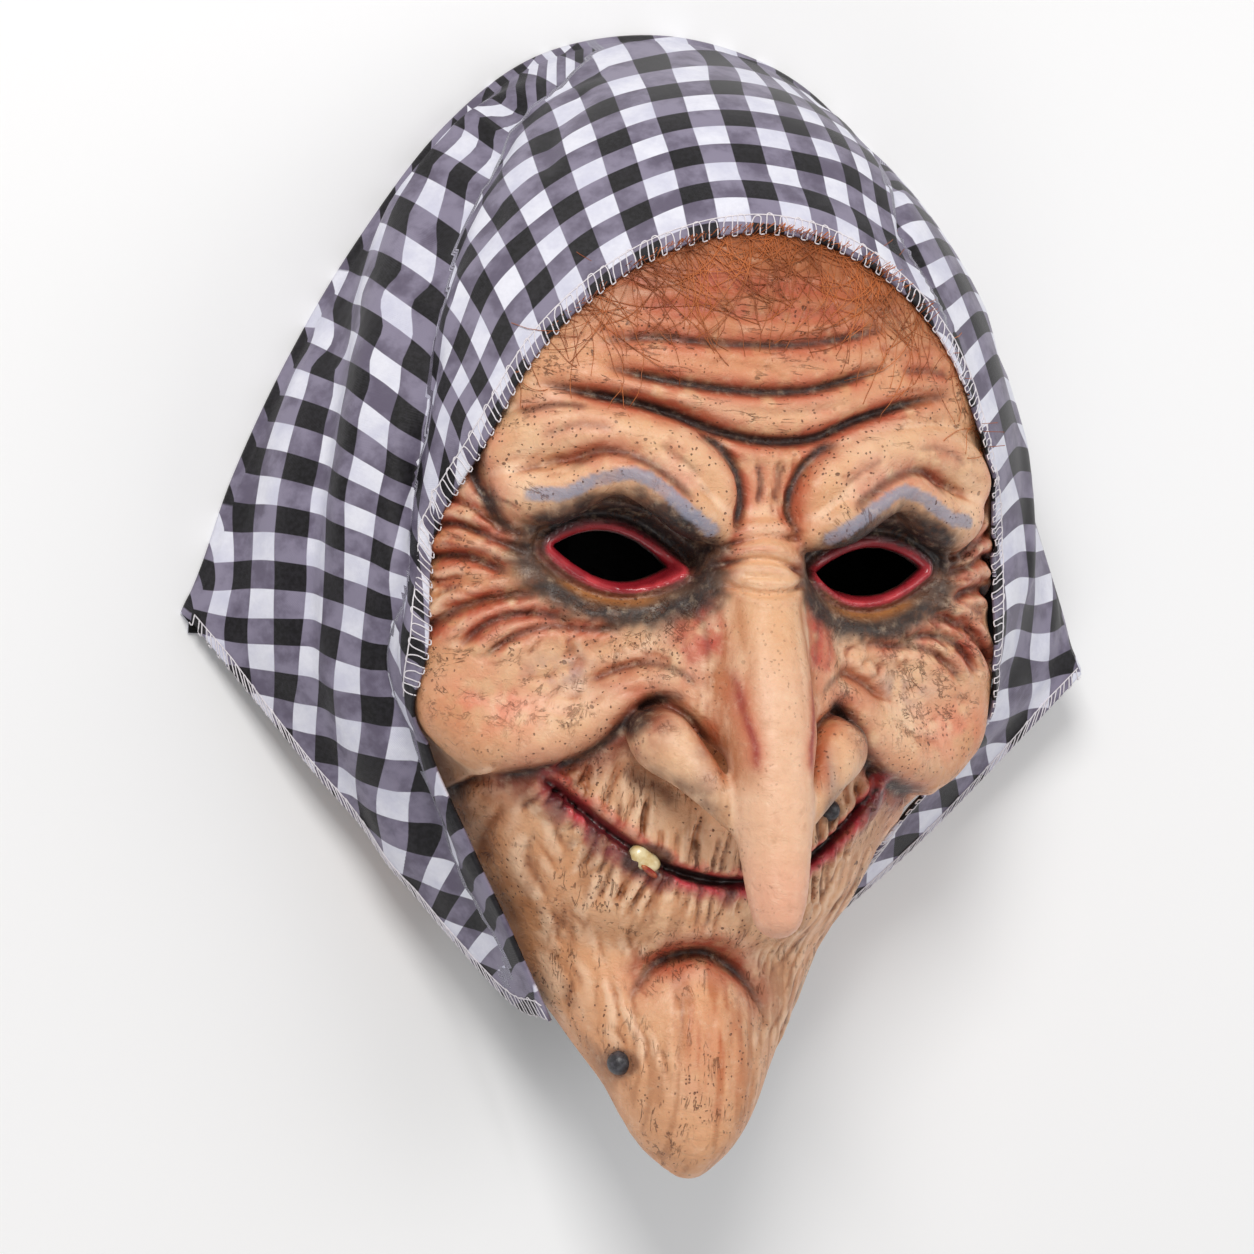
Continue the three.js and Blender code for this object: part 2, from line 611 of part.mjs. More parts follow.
// A closed sheet of the cloth's thickness about the columns of its middle
function scarf() {
  const columns = scarfColumns();
  const last = columns.length - 1;
  const rows = columns[0].length - 1;
  const at = (i, k) => columns[clamp(i, 0, last)][clamp(k, 0, rows)];
  const normal = (i, k) => {
    const along = at(i + 1, k).clone().sub(at(i - 1, k));
    const down = at(i, k + 1).clone().sub(at(i, k - 1));
    return down.cross(along).normalize();
  };
  const face = (offset) => columns.map((column, i) => column.map((point, k) => (
    point.clone().addScaledVector(normal(i, k), offset))));
  const outer = face(CLOTH / 2);
  const inner = face(-CLOTH / 2);
  const facets = new Facets();
  for (let i = 0; i < last; i += 1) {
    for (let k = 0; k < rows; k += 1) {
      facets.quad(outer[i][k], outer[i][k + 1], outer[i + 1][k + 1], outer[i + 1][k]);
      facets.quad(inner[i][k], inner[i + 1][k], inner[i + 1][k + 1], inner[i][k + 1]);
    }
    facets.quad(outer[i][0], outer[i + 1][0], inner[i + 1][0], inner[i][0]);
    facets.quad(outer[i][rows], inner[i][rows], inner[i + 1][rows], outer[i + 1][rows]);
  }
  for (let k = 0; k < rows; k += 1) {
    facets.quad(outer[0][k], inner[0][k], inner[0][k + 1], outer[0][k + 1]);
    facets.quad(outer[last][k], outer[last][k + 1], inner[last][k + 1], inner[last][k]);
  }
  return geometryOf(solid(facets.geometry()));
}

function piece(name, geometry, color, roughness) {
  const mesh = new THREE.Mesh(geometry, new THREE.MeshStandardMaterial({ color, roughness, metalness: 0 }));
  mesh.name = name;
  return mesh;
}

const mask = new THREE.Group();
mask.name = 'witch_mask';
mask.add(piece('latex_face', latexFace(), 0xd9a06b, 0.45));
mask.add(piece('scarf', scarf(), 0x8c879a, 0.6));

// The origin is the middle of the footprint, on the floor
const footprint = new THREE.Box3().setFromObject(mask);
mask.position.x = -(footprint.min.x + footprint.max.x) / 2;
mask.position.y = -(footprint.min.y + footprint.max.y) / 2;

export default mask;
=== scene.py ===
"""Looks of the witch mask: the painted latex face, and the checked scarf with its overlocked hem."""
import math

import bmesh
import bpy
import numpy as np
from mathutils import Matrix, Vector


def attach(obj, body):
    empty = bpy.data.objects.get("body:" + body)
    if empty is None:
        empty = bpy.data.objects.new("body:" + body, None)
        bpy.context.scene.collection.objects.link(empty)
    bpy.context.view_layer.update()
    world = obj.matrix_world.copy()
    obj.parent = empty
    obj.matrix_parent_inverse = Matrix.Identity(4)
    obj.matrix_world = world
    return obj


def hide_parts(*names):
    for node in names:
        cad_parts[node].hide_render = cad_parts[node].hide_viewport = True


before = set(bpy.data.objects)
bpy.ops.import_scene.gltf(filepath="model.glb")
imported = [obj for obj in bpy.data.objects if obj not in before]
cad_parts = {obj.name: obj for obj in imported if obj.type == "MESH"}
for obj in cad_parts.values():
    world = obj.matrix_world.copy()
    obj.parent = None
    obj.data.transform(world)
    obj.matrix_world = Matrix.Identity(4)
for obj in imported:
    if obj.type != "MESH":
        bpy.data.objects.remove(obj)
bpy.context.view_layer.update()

# The face is worked out in its own millimetres and set in the frame, whose origin is the footprint's middle
MM = 0.001
FRAME_SHIFT = (0.76, -2.81)
LATEX_WALL = 2.6
# Stands for a distance that is out of reach
FAR = 1e9

# Camera, fitted to the photograph: turned to the wearer's right, a little tilted, far away
PHOTO_PIXELS = 1254
CAMERA_TURN = math.radians(20)
CAMERA_TILT = math.radians(3.2)
CAMERA_DISTANCE = 1400
CAMERA_TARGET = (-2, -5.5, 0)
# The scale of the photograph, at this height in the face
PIXELS_PER_MM = 4.0
SCALE_HEIGHT = 30
SENSOR = 36
CLIP_START, CLIP_END = 0.05, 20


def place(points):
    """Face millimetres to frame metres."""
    q = np.array(points, float).reshape(-1, 3)
    q[:, :2] += FRAME_SHIFT
    return q * MM


def camera_axes():
    """Right, up and backwards from the camera."""
    back = np.array([-math.sin(CAMERA_TURN), 0, math.cos(CAMERA_TURN)])
    level_up = np.array([0, 1, 0])
    level_right = np.cross(level_up, back)
    up = level_up * math.cos(CAMERA_TILT) - level_right * math.sin(CAMERA_TILT)
    return np.cross(up, back), up, back


def focal_pixels():
    return PIXELS_PER_MM * (CAMERA_DISTANCE - SCALE_HEIGHT * math.cos(CAMERA_TURN))


def photo_pixels(points):
    """Where points of the face's millimetres lie in the photograph."""
    right, up, back = camera_axes()
    q = points - np.array(CAMERA_TARGET)
    scale = focal_pixels() / (CAMERA_DISTANCE - q @ back)
    return np.stack([PHOTO_PIXELS / 2 + scale * (q @ right), PHOTO_PIXELS / 2 - scale * (q @ up)], -1)


def make_camera():
    right, up, back = (Vector(axis) for axis in camera_axes())
    data = bpy.data.cameras.new("camera")
    data.sensor_width = SENSOR
    data.lens = SENSOR * focal_pixels() / PHOTO_PIXELS
    data.clip_start = CLIP_START
    data.clip_end = CLIP_END
    camera = bpy.data.objects.new("camera", data)
    bpy.context.scene.collection.objects.link(camera)
    target = Vector(place([CAMERA_TARGET])[0])
    camera.matrix_world = Matrix.Translation(target + back * CAMERA_DISTANCE * MM) @ Matrix(
        (right, up, back)).transposed().to_4x4()
    bpy.context.scene.camera = camera


# Curves and distances

def catmull(points, steps):
    """A smooth curve through the points, rows in and rows out."""
    p = np.asarray(points, float)
    ext = np.vstack([2 * p[0] - p[1], p, 2 * p[-1] - p[-2]])
    t = np.linspace(0, 1, steps, endpoint=False)[:, None]
    out = []
    for a, b, c, d in zip(ext[:-3], ext[1:-2], ext[2:-1], ext[3:]):
        out.append(0.5 * (2 * b + (c - a) * t + (2 * a - 5 * b + 4 * c - d) * t ** 2
                          + (3 * b - 3 * c + d - a) * t ** 3))
    return np.vstack(out + [p[-1:]])


def profile(stations, steps=6):
    c = catmull(stations, steps)
    return lambda at: np.interp(at, c[:, 0], c[:, 1])


def run_along(points):
    """Length from the first point to each point of a line."""
    return np.concatenate([[0], np.cumsum(np.linalg.norm(np.diff(points, axis=0), axis=1))])


def smooth_min(a, b, k):
    h = np.clip(0.5 + 0.5 * (b - a) / k, 0, 1)
    return b + (a - b) * h - k * h * (1 - h)


def smooth_max(a, b, k):
    return -smooth_min(-a, -b, k)


def bell(value, centre, width):
    """1 at the centre, falling away to both sides."""
    return np.exp(-((value - centre) / width) ** 2)


def fading(t, share):
    """0 at both ends of a line and 1 from this share of its length inwards."""
    return np.clip(np.minimum(t, 1 - t) / share, 0, 1)


# Corners of the face's plane, and the steps of the charts over it: of the base, and of the carving
PLAN_LOW, PLAN_HIGH = (-90.0, -150.0), (90.0, 132.0)
BASE_STEP, CARVING_STEP = 1.0, 0.5


class Chart:
    """Values over the face's plane on a square grid, read between its points."""

    def __init__(self, step, low=PLAN_LOW, high=PLAN_HIGH):
        self.step = step
        self.low = np.array(low)
        self.nx = int(round((high[0] - low[0]) / step)) + 1
        self.ny = int(round((high[1] - low[1]) / step)) + 1
        self.x = low[0] + step * np.arange(self.nx)
        self.y = low[1] + step * np.arange(self.ny)
        self.value = np.zeros((self.nx, self.ny))

    def window(self, low, high):
        i0, j0 = np.maximum(np.floor((np.array(low) - self.low) / self.step).astype(int), 0)
        i1, j1 = np.floor((np.array(high) - self.low) / self.step).astype(int) + 2
        xs, ys = np.meshgrid(self.x[i0:i1], self.y[j0:j1], indexing="ij")
        return (slice(i0, i1), slice(j0, j1)), xs, ys

    def at(self, x, y):
        u = np.clip((x - self.low[0]) / self.step, 0, self.nx - 1.001)
        v = np.clip((y - self.low[1]) / self.step, 0, self.ny - 1.001)
        i, j = u.astype(int), v.astype(int)
        u -= i
        v -= j
        g = self.value
        return ((g[i, j] * (1 - u) + g[i + 1, j] * u) * (1 - v)
                + (g[i, j + 1] * (1 - u) + g[i + 1, j + 1] * u) * v)


def line_distance(xs, ys, curve):
    """Distance in the plane to a polyline, and the place along it from 0 to 1."""
    best = np.full(xs.shape, FAR)
    where = np.zeros(xs.shape)
    count = len(curve) - 1
    for i in range(count):
        ax, ay = curve[i, :2]
        ex, ey = curve[i + 1, :2] - curve[i, :2]
        t = np.clip(((xs - ax) * ex + (ys - ay) * ey) / (ex * ex + ey * ey), 0, 1)
        d = (xs - ax - ex * t) ** 2 + (ys - ay - ey * t) ** 2
        near = d < best
        best[near] = d[near]
        where[near] = (i + t[near]) / count
    return np.sqrt(best), where


# Base of the face by height up it, as (y, value): half its width, the height of its front, how far that drops
# towards the sides, how round the edge is, and the height of the rim behind
SIDE_WALL = [(-139.5, 0), (-136, 7.5), (-128, 14), (-115, 23), (-100, 32), (-87, 39.5), (-73, 47.5),
             (-58, 56), (-40, 67), (-20, 77), (0, 80), (25, 79.5), (50, 75.5), (75, 67), (95, 55), (110, 40),
             (118, 24), (122, 0)]
FRONT = [(-141, 64), (-130, 69), (-115, 68), (-100, 64), (-84, 60), (-70, 68), (-50, 72), (-35, 75),
         (-20, 79), (0, 82), (10, 84), (30, 87), (42, 87), (55, 89), (75, 87), (91, 81), (100, 76), (115, 62),
         (125, 40)]
DROP = [(-141, 8), (-115, 12), (-85, 14), (-60, 20), (-40, 22), (0, 28), (60, 28), (125, 24)]
ROUNDING = [(-141, 8), (-115, 10), (-80, 16), (-40, 23), (60, 24), (125, 32)]
RIM = [(-150, 60), (-141, 60), (-118, 51), (-100, 38), (-83, 18.5), (-64, 2.2), (150, 2.2)]
DROP_POWER = 2.2
LEAST_HALF_WIDTH = 8
FURTHEST_SHARE = 1.25
OUTLINE_STEPS = 5

wall_at = profile(SIDE_WALL)
front_at = profile(FRONT)
drop_at = profile(DROP)
rounding_at = profile(ROUNDING)
rim_at = profile(RIM, 1)


def front_z(x, y):
    share = np.minimum(np.abs(x) / np.maximum(wall_at(y), LEAST_HALF_WIDTH), FURTHEST_SHARE)
    return front_at(y) - drop_at(y) * share ** DROP_POWER


def make_base_charts():
    """Charts of the front's height and slope, the distance to the side wall, and the edge's rounding."""
    front, slope, wall, rounding = (Chart(BASE_STEP) for _ in range(4))
    xs, ys = np.meshgrid(front.x, front.y, indexing="ij")
    front.value = front_z(xs, ys)
    gx, gy = np.gradient(front.value, front.step)
    slope.value = np.sqrt(1 + gx ** 2 + gy ** 2)
    half = np.array([(w, y) for y, w in SIDE_WALL], float)
    whole = np.vstack([half[1] * [-1, 1], half, half[-2] * [-1, 1]])
    outline = catmull(whole, OUTLINE_STEPS)[OUTLINE_STEPS:-OUTLINE_STEPS]
    distance, _ = line_distance(np.abs(xs), ys, outline)
    inside = np.abs(xs) < np.interp(ys, outline[:, 1], outline[:, 0], left=-1, right=-1)
    wall.value = np.where(inside, -distance, distance)
    rounding.value = rounding_at(ys)
    return front, slope, wall, rounding


front_chart, slope_chart, wall_chart, rounding_chart = make_base_charts()


def base_distance(p):
    x, y, z = p.T
    lid = (z - front_chart.at(x, y)) / slope_chart.at(x, y)
    return smooth_max(lid, wall_chart.at(x, y), rounding_chart.at(x, y))


# Rolls that stand out of the base, on the wearer's left and mirrored: x, y, height and radius. The brows, the
# bags under the eyes and the cheek folds give their height over the base.
BROW_TOP = [(60, 35, -5, 8), (50, 40.5, -3, 8), (36, 40.5, -1.5, 7), (23, 37, -0.5, 6.5), (13.5, 30, 0, 5.5),
            (12.5, 23, -0.5, 4.5)]
BROW_LOW = [(58, 25.5, -3, 7), (50, 25, -0.5, 7), (42, 30, 0.5, 6), (35, 32, 1, 6), (28, 28.8, 2, 6),
            (20, 23, 3, 6), (13.5, 20, 2.5, 4.5)]
UNDER_EYE = [(54, 7, -7, 4), (45, 0, -6, 4.5), (34, -3.5, -5, 4.5), (24, -1, -5, 4), (16, 5, -5, 3.5)]
CHEEK_FOLD = [(15, -16, -2, 6), (25, -21, -1, 6.5), (35, -28, 0, 7.5), (46, -33, 0, 8.5), (57, -33, -2, 9),
              (64, -27, -5, 9)]
NOSE = [(0, 14, 83, 9), (0, 2, 87, 9.5), (0, -12, 92, 10.5), (0, -27, 97, 11.3), (0, -43, 102, 10.2),
        (0, -57, 106, 8.5), (0, -66, 108.5, 7.3), (0, -71, 109.6, 6.1)]
NOSE_SIDE = [(6, 9, 79, 6), (12, -6, 80.5, 8), (14.5, -18, 82, 8), (10, -27, 86.5, 6)]
NOSTRIL = [(22, -30.5, 82, 8), (21.8, -32.5, 86, 8), (17.5, -37.5, 91.5, 6.2), (12, -43.5, 96.5, 5.2),
           (6.5, -50, 100.5, 4.2)]
SIDES = (-1, 1)
# Rounded bodies: centre, radii, and how softly each runs into the rest
SOCKET_MIDDLE = (35.0, 12.0)
SOCKET_HEIGHT = float(front_z(*np.array(SOCKET_MIDDLE)[:, None])[0]) + 3
SOCKET = ((*SOCKET_MIDDLE, SOCKET_HEIGHT), (24, 14.5, 13), 6)
EYEBALL = ((33.5, 10.5, 60), (20, 12.5, 15), 2)
CHEEK = ((50, -14, 48), (27, 25, 21), 8)
UPPER_JAW = ((0, -50, 56), (36, 24, 22), 8)
LOWER_JAW = ((0, -72, 56), (30, 12, 16), 6)
CHIN = ((0, -112, 54), (17.5, 26.5, 17), 6)
# How softly the rolls run into the rest; the first of a form meets nothing yet
SOFTNESS = {"under_eye": 4, "cheek_fold": 7, "lips": 3, "brow": 2.5, "brow_base": 2, "nose_side": 8,
            "nose_base": 6, "nostril": 2.2, "first": 0.001}
# A form is worked out this far about its own box
REACH = 14


def roll_samples(rows, side=1, lifted=False, steps=4):
    q = np.array(rows, float)
    if lifted:
        q[:, 2] += front_z(q[:, 0], q[:, 1])
    q[:, 0] *= side
    return catmull(q, steps)


def near_box(p, low, high):
    m = np.ones(len(p), bool)
    for axis in range(3):
        m &= (p[:, axis] > low[axis] - REACH) & (p[:, axis] < high[axis] + REACH)
    return m


def roll_distance(p, samples):
    best = np.full(len(p), FAR)
    for a, b in zip(samples[:-1], samples[1:]):
        e = b[:3] - a[:3]
        rel = p - a[:3]
        t = np.clip(rel @ e / (e @ e), 0, 1)
        rel -= t[:, None] * e
        best = np.minimum(best, np.sqrt(np.einsum("ij,ij->i", rel, rel)) - (a[3] + (b[3] - a[3]) * t))
    return best


def ellipsoid_distance(p, centre, radii):
    q = p - np.asarray(centre, float)
    r = np.asarray(radii, float)
    near = np.sqrt(((q / r) ** 2).sum(1))
    far = np.sqrt(((q / r ** 2) ** 2).sum(1))
    return near * (near - 1) / np.maximum(far, 1e-9)


def join_roll(d, p, samples, k):
    """Joins a roll to the shape, near the roll only."""
    r = samples[:, 3:4]
    m = near_box(p, (samples[:, :3] - r).min(0), (samples[:, :3] + r).max(0))
    if m.any():
        d[m] = smooth_min(d[m], roll_distance(p[m], samples), k)
    return d


def join_body(d, p, body, side=1, cut=False):
    """Joins a rounded body to the shape, or cuts it out, near the body only."""
    centre, radii, k = body
    c, r = np.array(centre, float) * (side, 1, 1), np.array(radii, float)
    m = near_box(p, c - r, c + r)
    if m.any():
        e = ellipsoid_distance(p[m], c, r)
        d[m] = smooth_max(d[m], -e, k) if cut else smooth_min(d[m], e, k)
    return d


# Creases: a path in the face's plane, depth, width, and how much dark and red paint lies in it
FOREHEAD_CREASES = [
    ([(-44, 62), (-30, 64), (-14, 63.5), (5, 64.5), (20, 67.5), (32, 71)], 1.5, 1.5, 0.7, 0.8),
    ([(-42, 56.5), (-27, 54), (-8, 52.5), (7, 53.5), (18, 56.5), (33, 62)], 2.4, 1.5, 0.9, 0.9),
    ([(-56, 52), (-45, 50), (-35, 48.5), (-24, 46), (-12, 42.5), (0, 41), (12, 42.5), (23, 47.5), (39, 53),
      (54, 56)], 3.4, 1.6, 1.1, 1.0),
    ([(-25, 79), (-8, 77.5), (10, 78), (24, 80)], 0.5, 1.6, 0.15, 0.6),
    ([(-38, 70), (-24, 72), (-6, 71), (10, 72), (22, 75)], 0.6, 1.4, 0.2, 0.7),
    ([(34, 60), (44, 61), (52, 60)], 0.8, 1.3, 0.4, 0.7),
    ([(-60, 44), (-52, 46.5), (-44, 46.5)], 0.8, 1.2, 0.5, 0.6),
]
BRIDGE_CREASES = [
    ([(-3, 36), (-1.5, 31), (-2, 25)], 0.7, 1.1, 0.6, 0.7),
    ([(2.5, 37), (3, 31), (2, 26)], 0.5, 1.0, 0.5, 0.6),
    ([(-10, 15), (-2, 17.6), (10, 17.9)], 1.3, 1.1, 0.7, 1.2),
    ([(-13, 9.6), (-4, 12.4), (4, 11.6), (11, 9.2)], 1.8, 1.1, 0.8, 1.2),
    ([(-11, 6.4), (-3, 4.2), (5, 5.2), (11, 7.6)], 1.5, 1.0, 0.9, 1.0),
    ([(-9, 8), (0, 8.2), (8, 8.4)], 0.6, 0.8, 0.3, 0.7),
]
# These, and all that follows down to the mouth, are the same on both sides and given on the wearer's left
SIDE_CREASES = [
    ([(77, 6), (71, 9), (64, 8.5), (57, 5)], 2, 1.4, 0.65, 0.9),
    ([(76, 15), (69, 17), (62, 14), (54, 11)], 1.8, 1.3, 0.65, 1),
    ([(72, 24), (65, 20), (58, 14)], 1.3, 1.2, 0.45, 0.9),
    ([(76, -12), (72, -7), (65, -2), (57, 0.5), (49, 1)], 2.2, 1.5, 0.59, 1),
    ([(68, -13), (63, -7.5), (57, -4), (50, -3.5), (42, -5)], 2, 1.4, 0.65, 1),
    ([(64, -16), (57, -10), (49, -6.5), (40, -6.5), (30, -6)], 1.4, 1.3, 0.52, 0.8),
    ([(39, -20), (32, -16), (25, -14), (19, -16), (15.5, -20)], 1.5, 1.5, 0.4, 0.5),
    ([(17, 3), (14.5, -5), (13.5, -14)], 1.2, 1.5, 0.3, 1.2),
    ([(18, -1), (19, -8), (16.5, -15)], 0.8, 1.3, 0.2, 0.9),
    ([(55, -43), (58.5, -47), (59.5, -53)], 1.8, 1.3, 0.78, 0.3),
    ([(50, -50), (51.5, -58), (49, -66)], 0.6, 1.2, 0.25, 0.1),
    ([(44, -56), (43, -64), (38, -72)], 0.5, 1.1, 0.25, 0),
    ([(34, -82), (31, -92), (29, -100)], 0.4, 1.2, 0.15, 0),
]
BROW_EDGES = [
    ([(18.5, 42), (12.5, 39), (8, 33.5), (6, 25.5), (8.5, 17.5)], 1.6, 1.5, 0.9, 0.9),
    ([(64, 43), (67, 36), (66, 28), (61.5, 19), (55, 14.5)], 1.4, 1.5, 0.9, 0.6),
]
BROW_CREASES = [
    ([(50, 30), (42, 36), (33, 34.5), (25, 29.5), (20, 25)], 0.9, 1.7, 0.55, 0.7),
    ([(56, 38), (48, 42), (38, 41.5)], 0.5, 1.3, 0.3, 0.5),
    ([(30, 39), (23, 35), (18, 31)], 0.5, 1.2, 0.3, 0.5),
]
SMILE = ([(17.5, -21.5), (23, -22.5), (28.5, -27), (34, -34), (41, -39), (50, -42), (58, -42.5)],
         1.6, 2.4, 0.85, 0.5)
# The groove over each nostril
WING_CREASE = ([(27, -28), (25.5, -25), (22, -24), (17.6, -25.8), (13.4, -30.5), (10.7, -36.8), (9.5, -43)],
               1.5, 1.6, 0.4, 0.5)
# Bands of shade alone: path and width
CHEEK_SHADE = ([(19, -22), (27, -27), (32, -34.5), (39, -41), (48, -45), (57, -45)], 4.2)
WING_SHADE = ([(28, -38), (25, -41.5), (21, -43), (17, -45), (13.5, -50)], 2.2)
# The mouth and the chin, as they are
MOUTH = [(-45, -43), (-36, -49.5), (-28, -55.5), (-18, -61.5), (-8, -65), (2, -66), (12, -64.5), (23, -59.5),
         (32, -52), (41, -42)]
MOUTH_CUT = (MOUTH, 3.2, 1.2, 1.2, 0.0)
CHIN_CREASE = ([(-19, -98.5), (-15.5, -93), (-11.5, -88), (-6, -85), (0.5, -84), (6.5, -86.5), (12, -90.5),
                (16, -96), (18.5, -102)], 2.4, 2.0, 0.75, 0.9)
CHIN_SHADE = ([(-19, -91), (-13, -85), (-6, -82), (2, -81.5), (8, -84)], 2.4)
CHIN_LINES = [
    ([(-6, -93), (-7, -103), (-8, -112)], 0.49, 1.1, 0.24, 0),
    ([(1, -95), (0, -106), (2, -118), (1, -126)], 0.56, 1.2, 0.18, 0.2),
    ([(6, -98), (6, -110), (9, -122)], 0.42, 1.1, 0.16, 0.1),
    ([(-3, -98), (-4, -110), (-3, -121)], 0.35, 1, 0.14, 0.2),
    ([(11, -101), (13, -112), (12, -121)], 0.35, 1, 0.12, 0),
]
# How high the banks of a crease stand, as a share of its depth, where they are low
LOW_BANK = 0.1
# The blue stripe under each brow: its path, and the steps from one point to the next
BLUE_STRIPE = ([(56.5, 25), (50, 25.5), (44, 28.5), (38, 30.5), (33, 30.5), (26, 26), (20, 21.5),
                (15.5, 18.5)], 6)
EYE_INNER = (19, 9.5)
EYE_OUTER = (48, 13)
EYE_TOP = 17.2
EYE_BOTTOM = 5.4
TOOTH = {"at": (-19.8, -61.4), "size": (4.3, 2.6, 2.7), "turn": -34, "lift": 0.7, "power": 2.6}
GUM = {"at": (-19.0, -64.2), "size": (2.6, 0.8, 1.0), "turn": -34, "lift": -0.5, "power": 2.2}
MOLES = [{"at": (-19.5, -111.7), "size": (3.0,) * 3}, {"at": (27, -47.5), "size": (2.7,) * 3}]


def mirrored(mark, side):
    """A mark on the wearer's left, or where side is -1 the same on the right."""
    path, *rest = mark
    return [(x * side, y) for x, y in path], *rest


def almond(side, steps=12):
    """The outline of an eye hole as a closed row of points."""
    middle, level = (EYE_INNER[0] + EYE_OUTER[0]) / 2, (EYE_INNER[1] + EYE_OUTER[1]) / 2
    t = np.linspace(0, 1, steps, endpoint=False)
    rows = []
    for a, b, reach in ((EYE_INNER, EYE_OUTER, EYE_BOTTOM), (EYE_OUTER, EYE_INNER, EYE_TOP)):
        bend = 2 * reach - level
        x = (1 - t) ** 2 * a[0] + 2 * t * (1 - t) * middle + t ** 2 * b[0]
        y = (1 - t) ** 2 * a[1] + 2 * t * (1 - t) * bend + t ** 2 * b[1]
        rows.append(np.stack([x * side, y], 1))
    ring = np.vstack(rows)
    return np.vstack([ring, ring[:1]])


def inside_ring(xs, ys, ring):
    inside = np.zeros(xs.shape, bool)
    for (ax, ay), (bx, by) in zip(ring[:-1], ring[1:]):
        if ay == by:
            continue
        crosses = (ay > ys) != (by > ys)
        inside ^= crosses & (xs < ax + (bx - ax) * (ys - ay) / (by - ay))
    return inside


class Carving:
    """The relief of the creases and the paint that follows them, as charts over the face's plane."""

    UNREACHED = 40
    NEAR = 30

    def __init__(self):
        self.relief, self.brow_relief, self.bridge_relief = (Chart(CARVING_STEP) for _ in range(3))
        self.dark, self.brown, self.shade, self.red = (Chart(CARVING_STEP) for _ in range(4))
        self.eye, self.lip, self.stripe = (Chart(CARVING_STEP) for _ in range(3))
        for chart in (self.eye, self.lip, self.stripe):
            chart.value += self.UNREACHED

    def crease(self, path, depth, width, dark, red, bank=0.35, fade=0.16, steps=6, relief=None, brown=False):
        """A groove with a low bank on either side, and its paint."""
        curve = catmull(path, steps)
        reach = 7 * width
        where, xs, ys = self.relief.window(curve.min(0) - reach, curve.max(0) + reach)
        r, t = line_distance(xs, ys, curve)
        ends = fading(t, fade) ** 0.8
        relief = relief or self.relief
        relief.value[where] += depth * ends * (bell(r, 0, width) - bank * bell(r, 2.3 * width, 1.1 * width))
        paint = self.brown if brown else self.dark
        paint.value[where] = np.maximum(paint.value[where], dark * ends * bell(r, 0, 0.8 * width))
        self.red.value[where] = np.maximum(self.red.value[where], red * ends * bell(r, 0, 2.6 * width))

    def shade_line(self, path, width, steps=6):
        curve = catmull(path, steps)
        where, xs, ys = self.shade.window(curve.min(0) - 3 * width, curve.max(0) + 3 * width)
        r, t = line_distance(xs, ys, curve)
        self.shade.value[where] = np.maximum(self.shade.value[where], fading(t, 0.15) * bell(r, 0, width))

    def measure(self, chart, curve, closed=False):
        """Puts the distance to a curve in the chart, and below zero inside a closed one."""
        where, xs, ys = chart.window(curve.min(0) - self.NEAR, curve.max(0) + self.NEAR)
        distance, _ = line_distance(xs, ys, curve)
        if closed:
            distance = np.where(inside_ring(xs, ys, curve), -distance, distance)
        chart.value[where] = np.minimum(chart.value[where], distance)


def wavy(random, start, end, sway):
    """A short path from start to end that sways to the sides."""
    start, end = np.array(start, float), np.array(end, float)
    aside = np.array([start[1] - end[1], end[0] - start[0]])
    aside /= max(np.linalg.norm(aside), 1e-6)
    shares = (0, 0.33, 0.67, 1)
    return [tuple(start + (end - start) * t + aside * random.normal(0, sway) * (0 < t)) for t in shares]


def scratch(carving, random, path, *sizes, fade=0.4, **how):
    """A fine brown crease. Its depth, width, dark and red are numbers, or ranges that they are drawn from."""
    drawn = [random.uniform(*size) if isinstance(size, tuple) else size for size in sizes]
    carving.crease(path, *drawn, fade=fade, steps=3, brown=True, **how)


def lip_wrinkles(carving, random):
    """Upright grooves that run out of the mouth, above and below it."""
    mouth = catmull(MOUTH, 12)
    run = run_along(mouth)
    for way, spacing, shortest, longest in ((1, 3.5, 8, 19), (-1, 3.2, 6, 17)):
        for at in np.arange(2, run[-1], spacing):
            at += random.normal(0, 0.5)
            x, y = np.interp(at, run, mouth[:, 0]), np.interp(at, run, mouth[:, 1])
            length = random.uniform(shortest, longest) * (0.55 if abs(x) > 34 else 1)
            lean = (-0.006 if way > 0 else 0.011) * x + random.normal(0, 0.08)
            path = wavy(random, (x, y - 0.8 * way), (x + lean * length, y + way * length), 0.5)
            scratch(carving, random, path, (0.6, 1.25), (0.65, 1.0), (0.55, 1.0), 0, bank=0.5, fade=0.3)


def jaw_wrinkles(carving, random, count=64):
    """Long strokes down the sides of the jaw and the chin."""
    for _ in range(count):
        side = random.choice(SIDES)
        y = random.uniform(-104, -50)
        x = side * random.uniform(0.35, 0.98) * float(wall_at(y)) * 0.9
        length = random.uniform(6, 20)
        lean = -0.42 * x / 30
        path = wavy(random, (x, y), (x + lean * length, y - length), 0.7)
        scratch(carving, random, path, (0.15, 0.45), (0.5, 0.8), (0.25, 0.75), 0, bank=0.45)


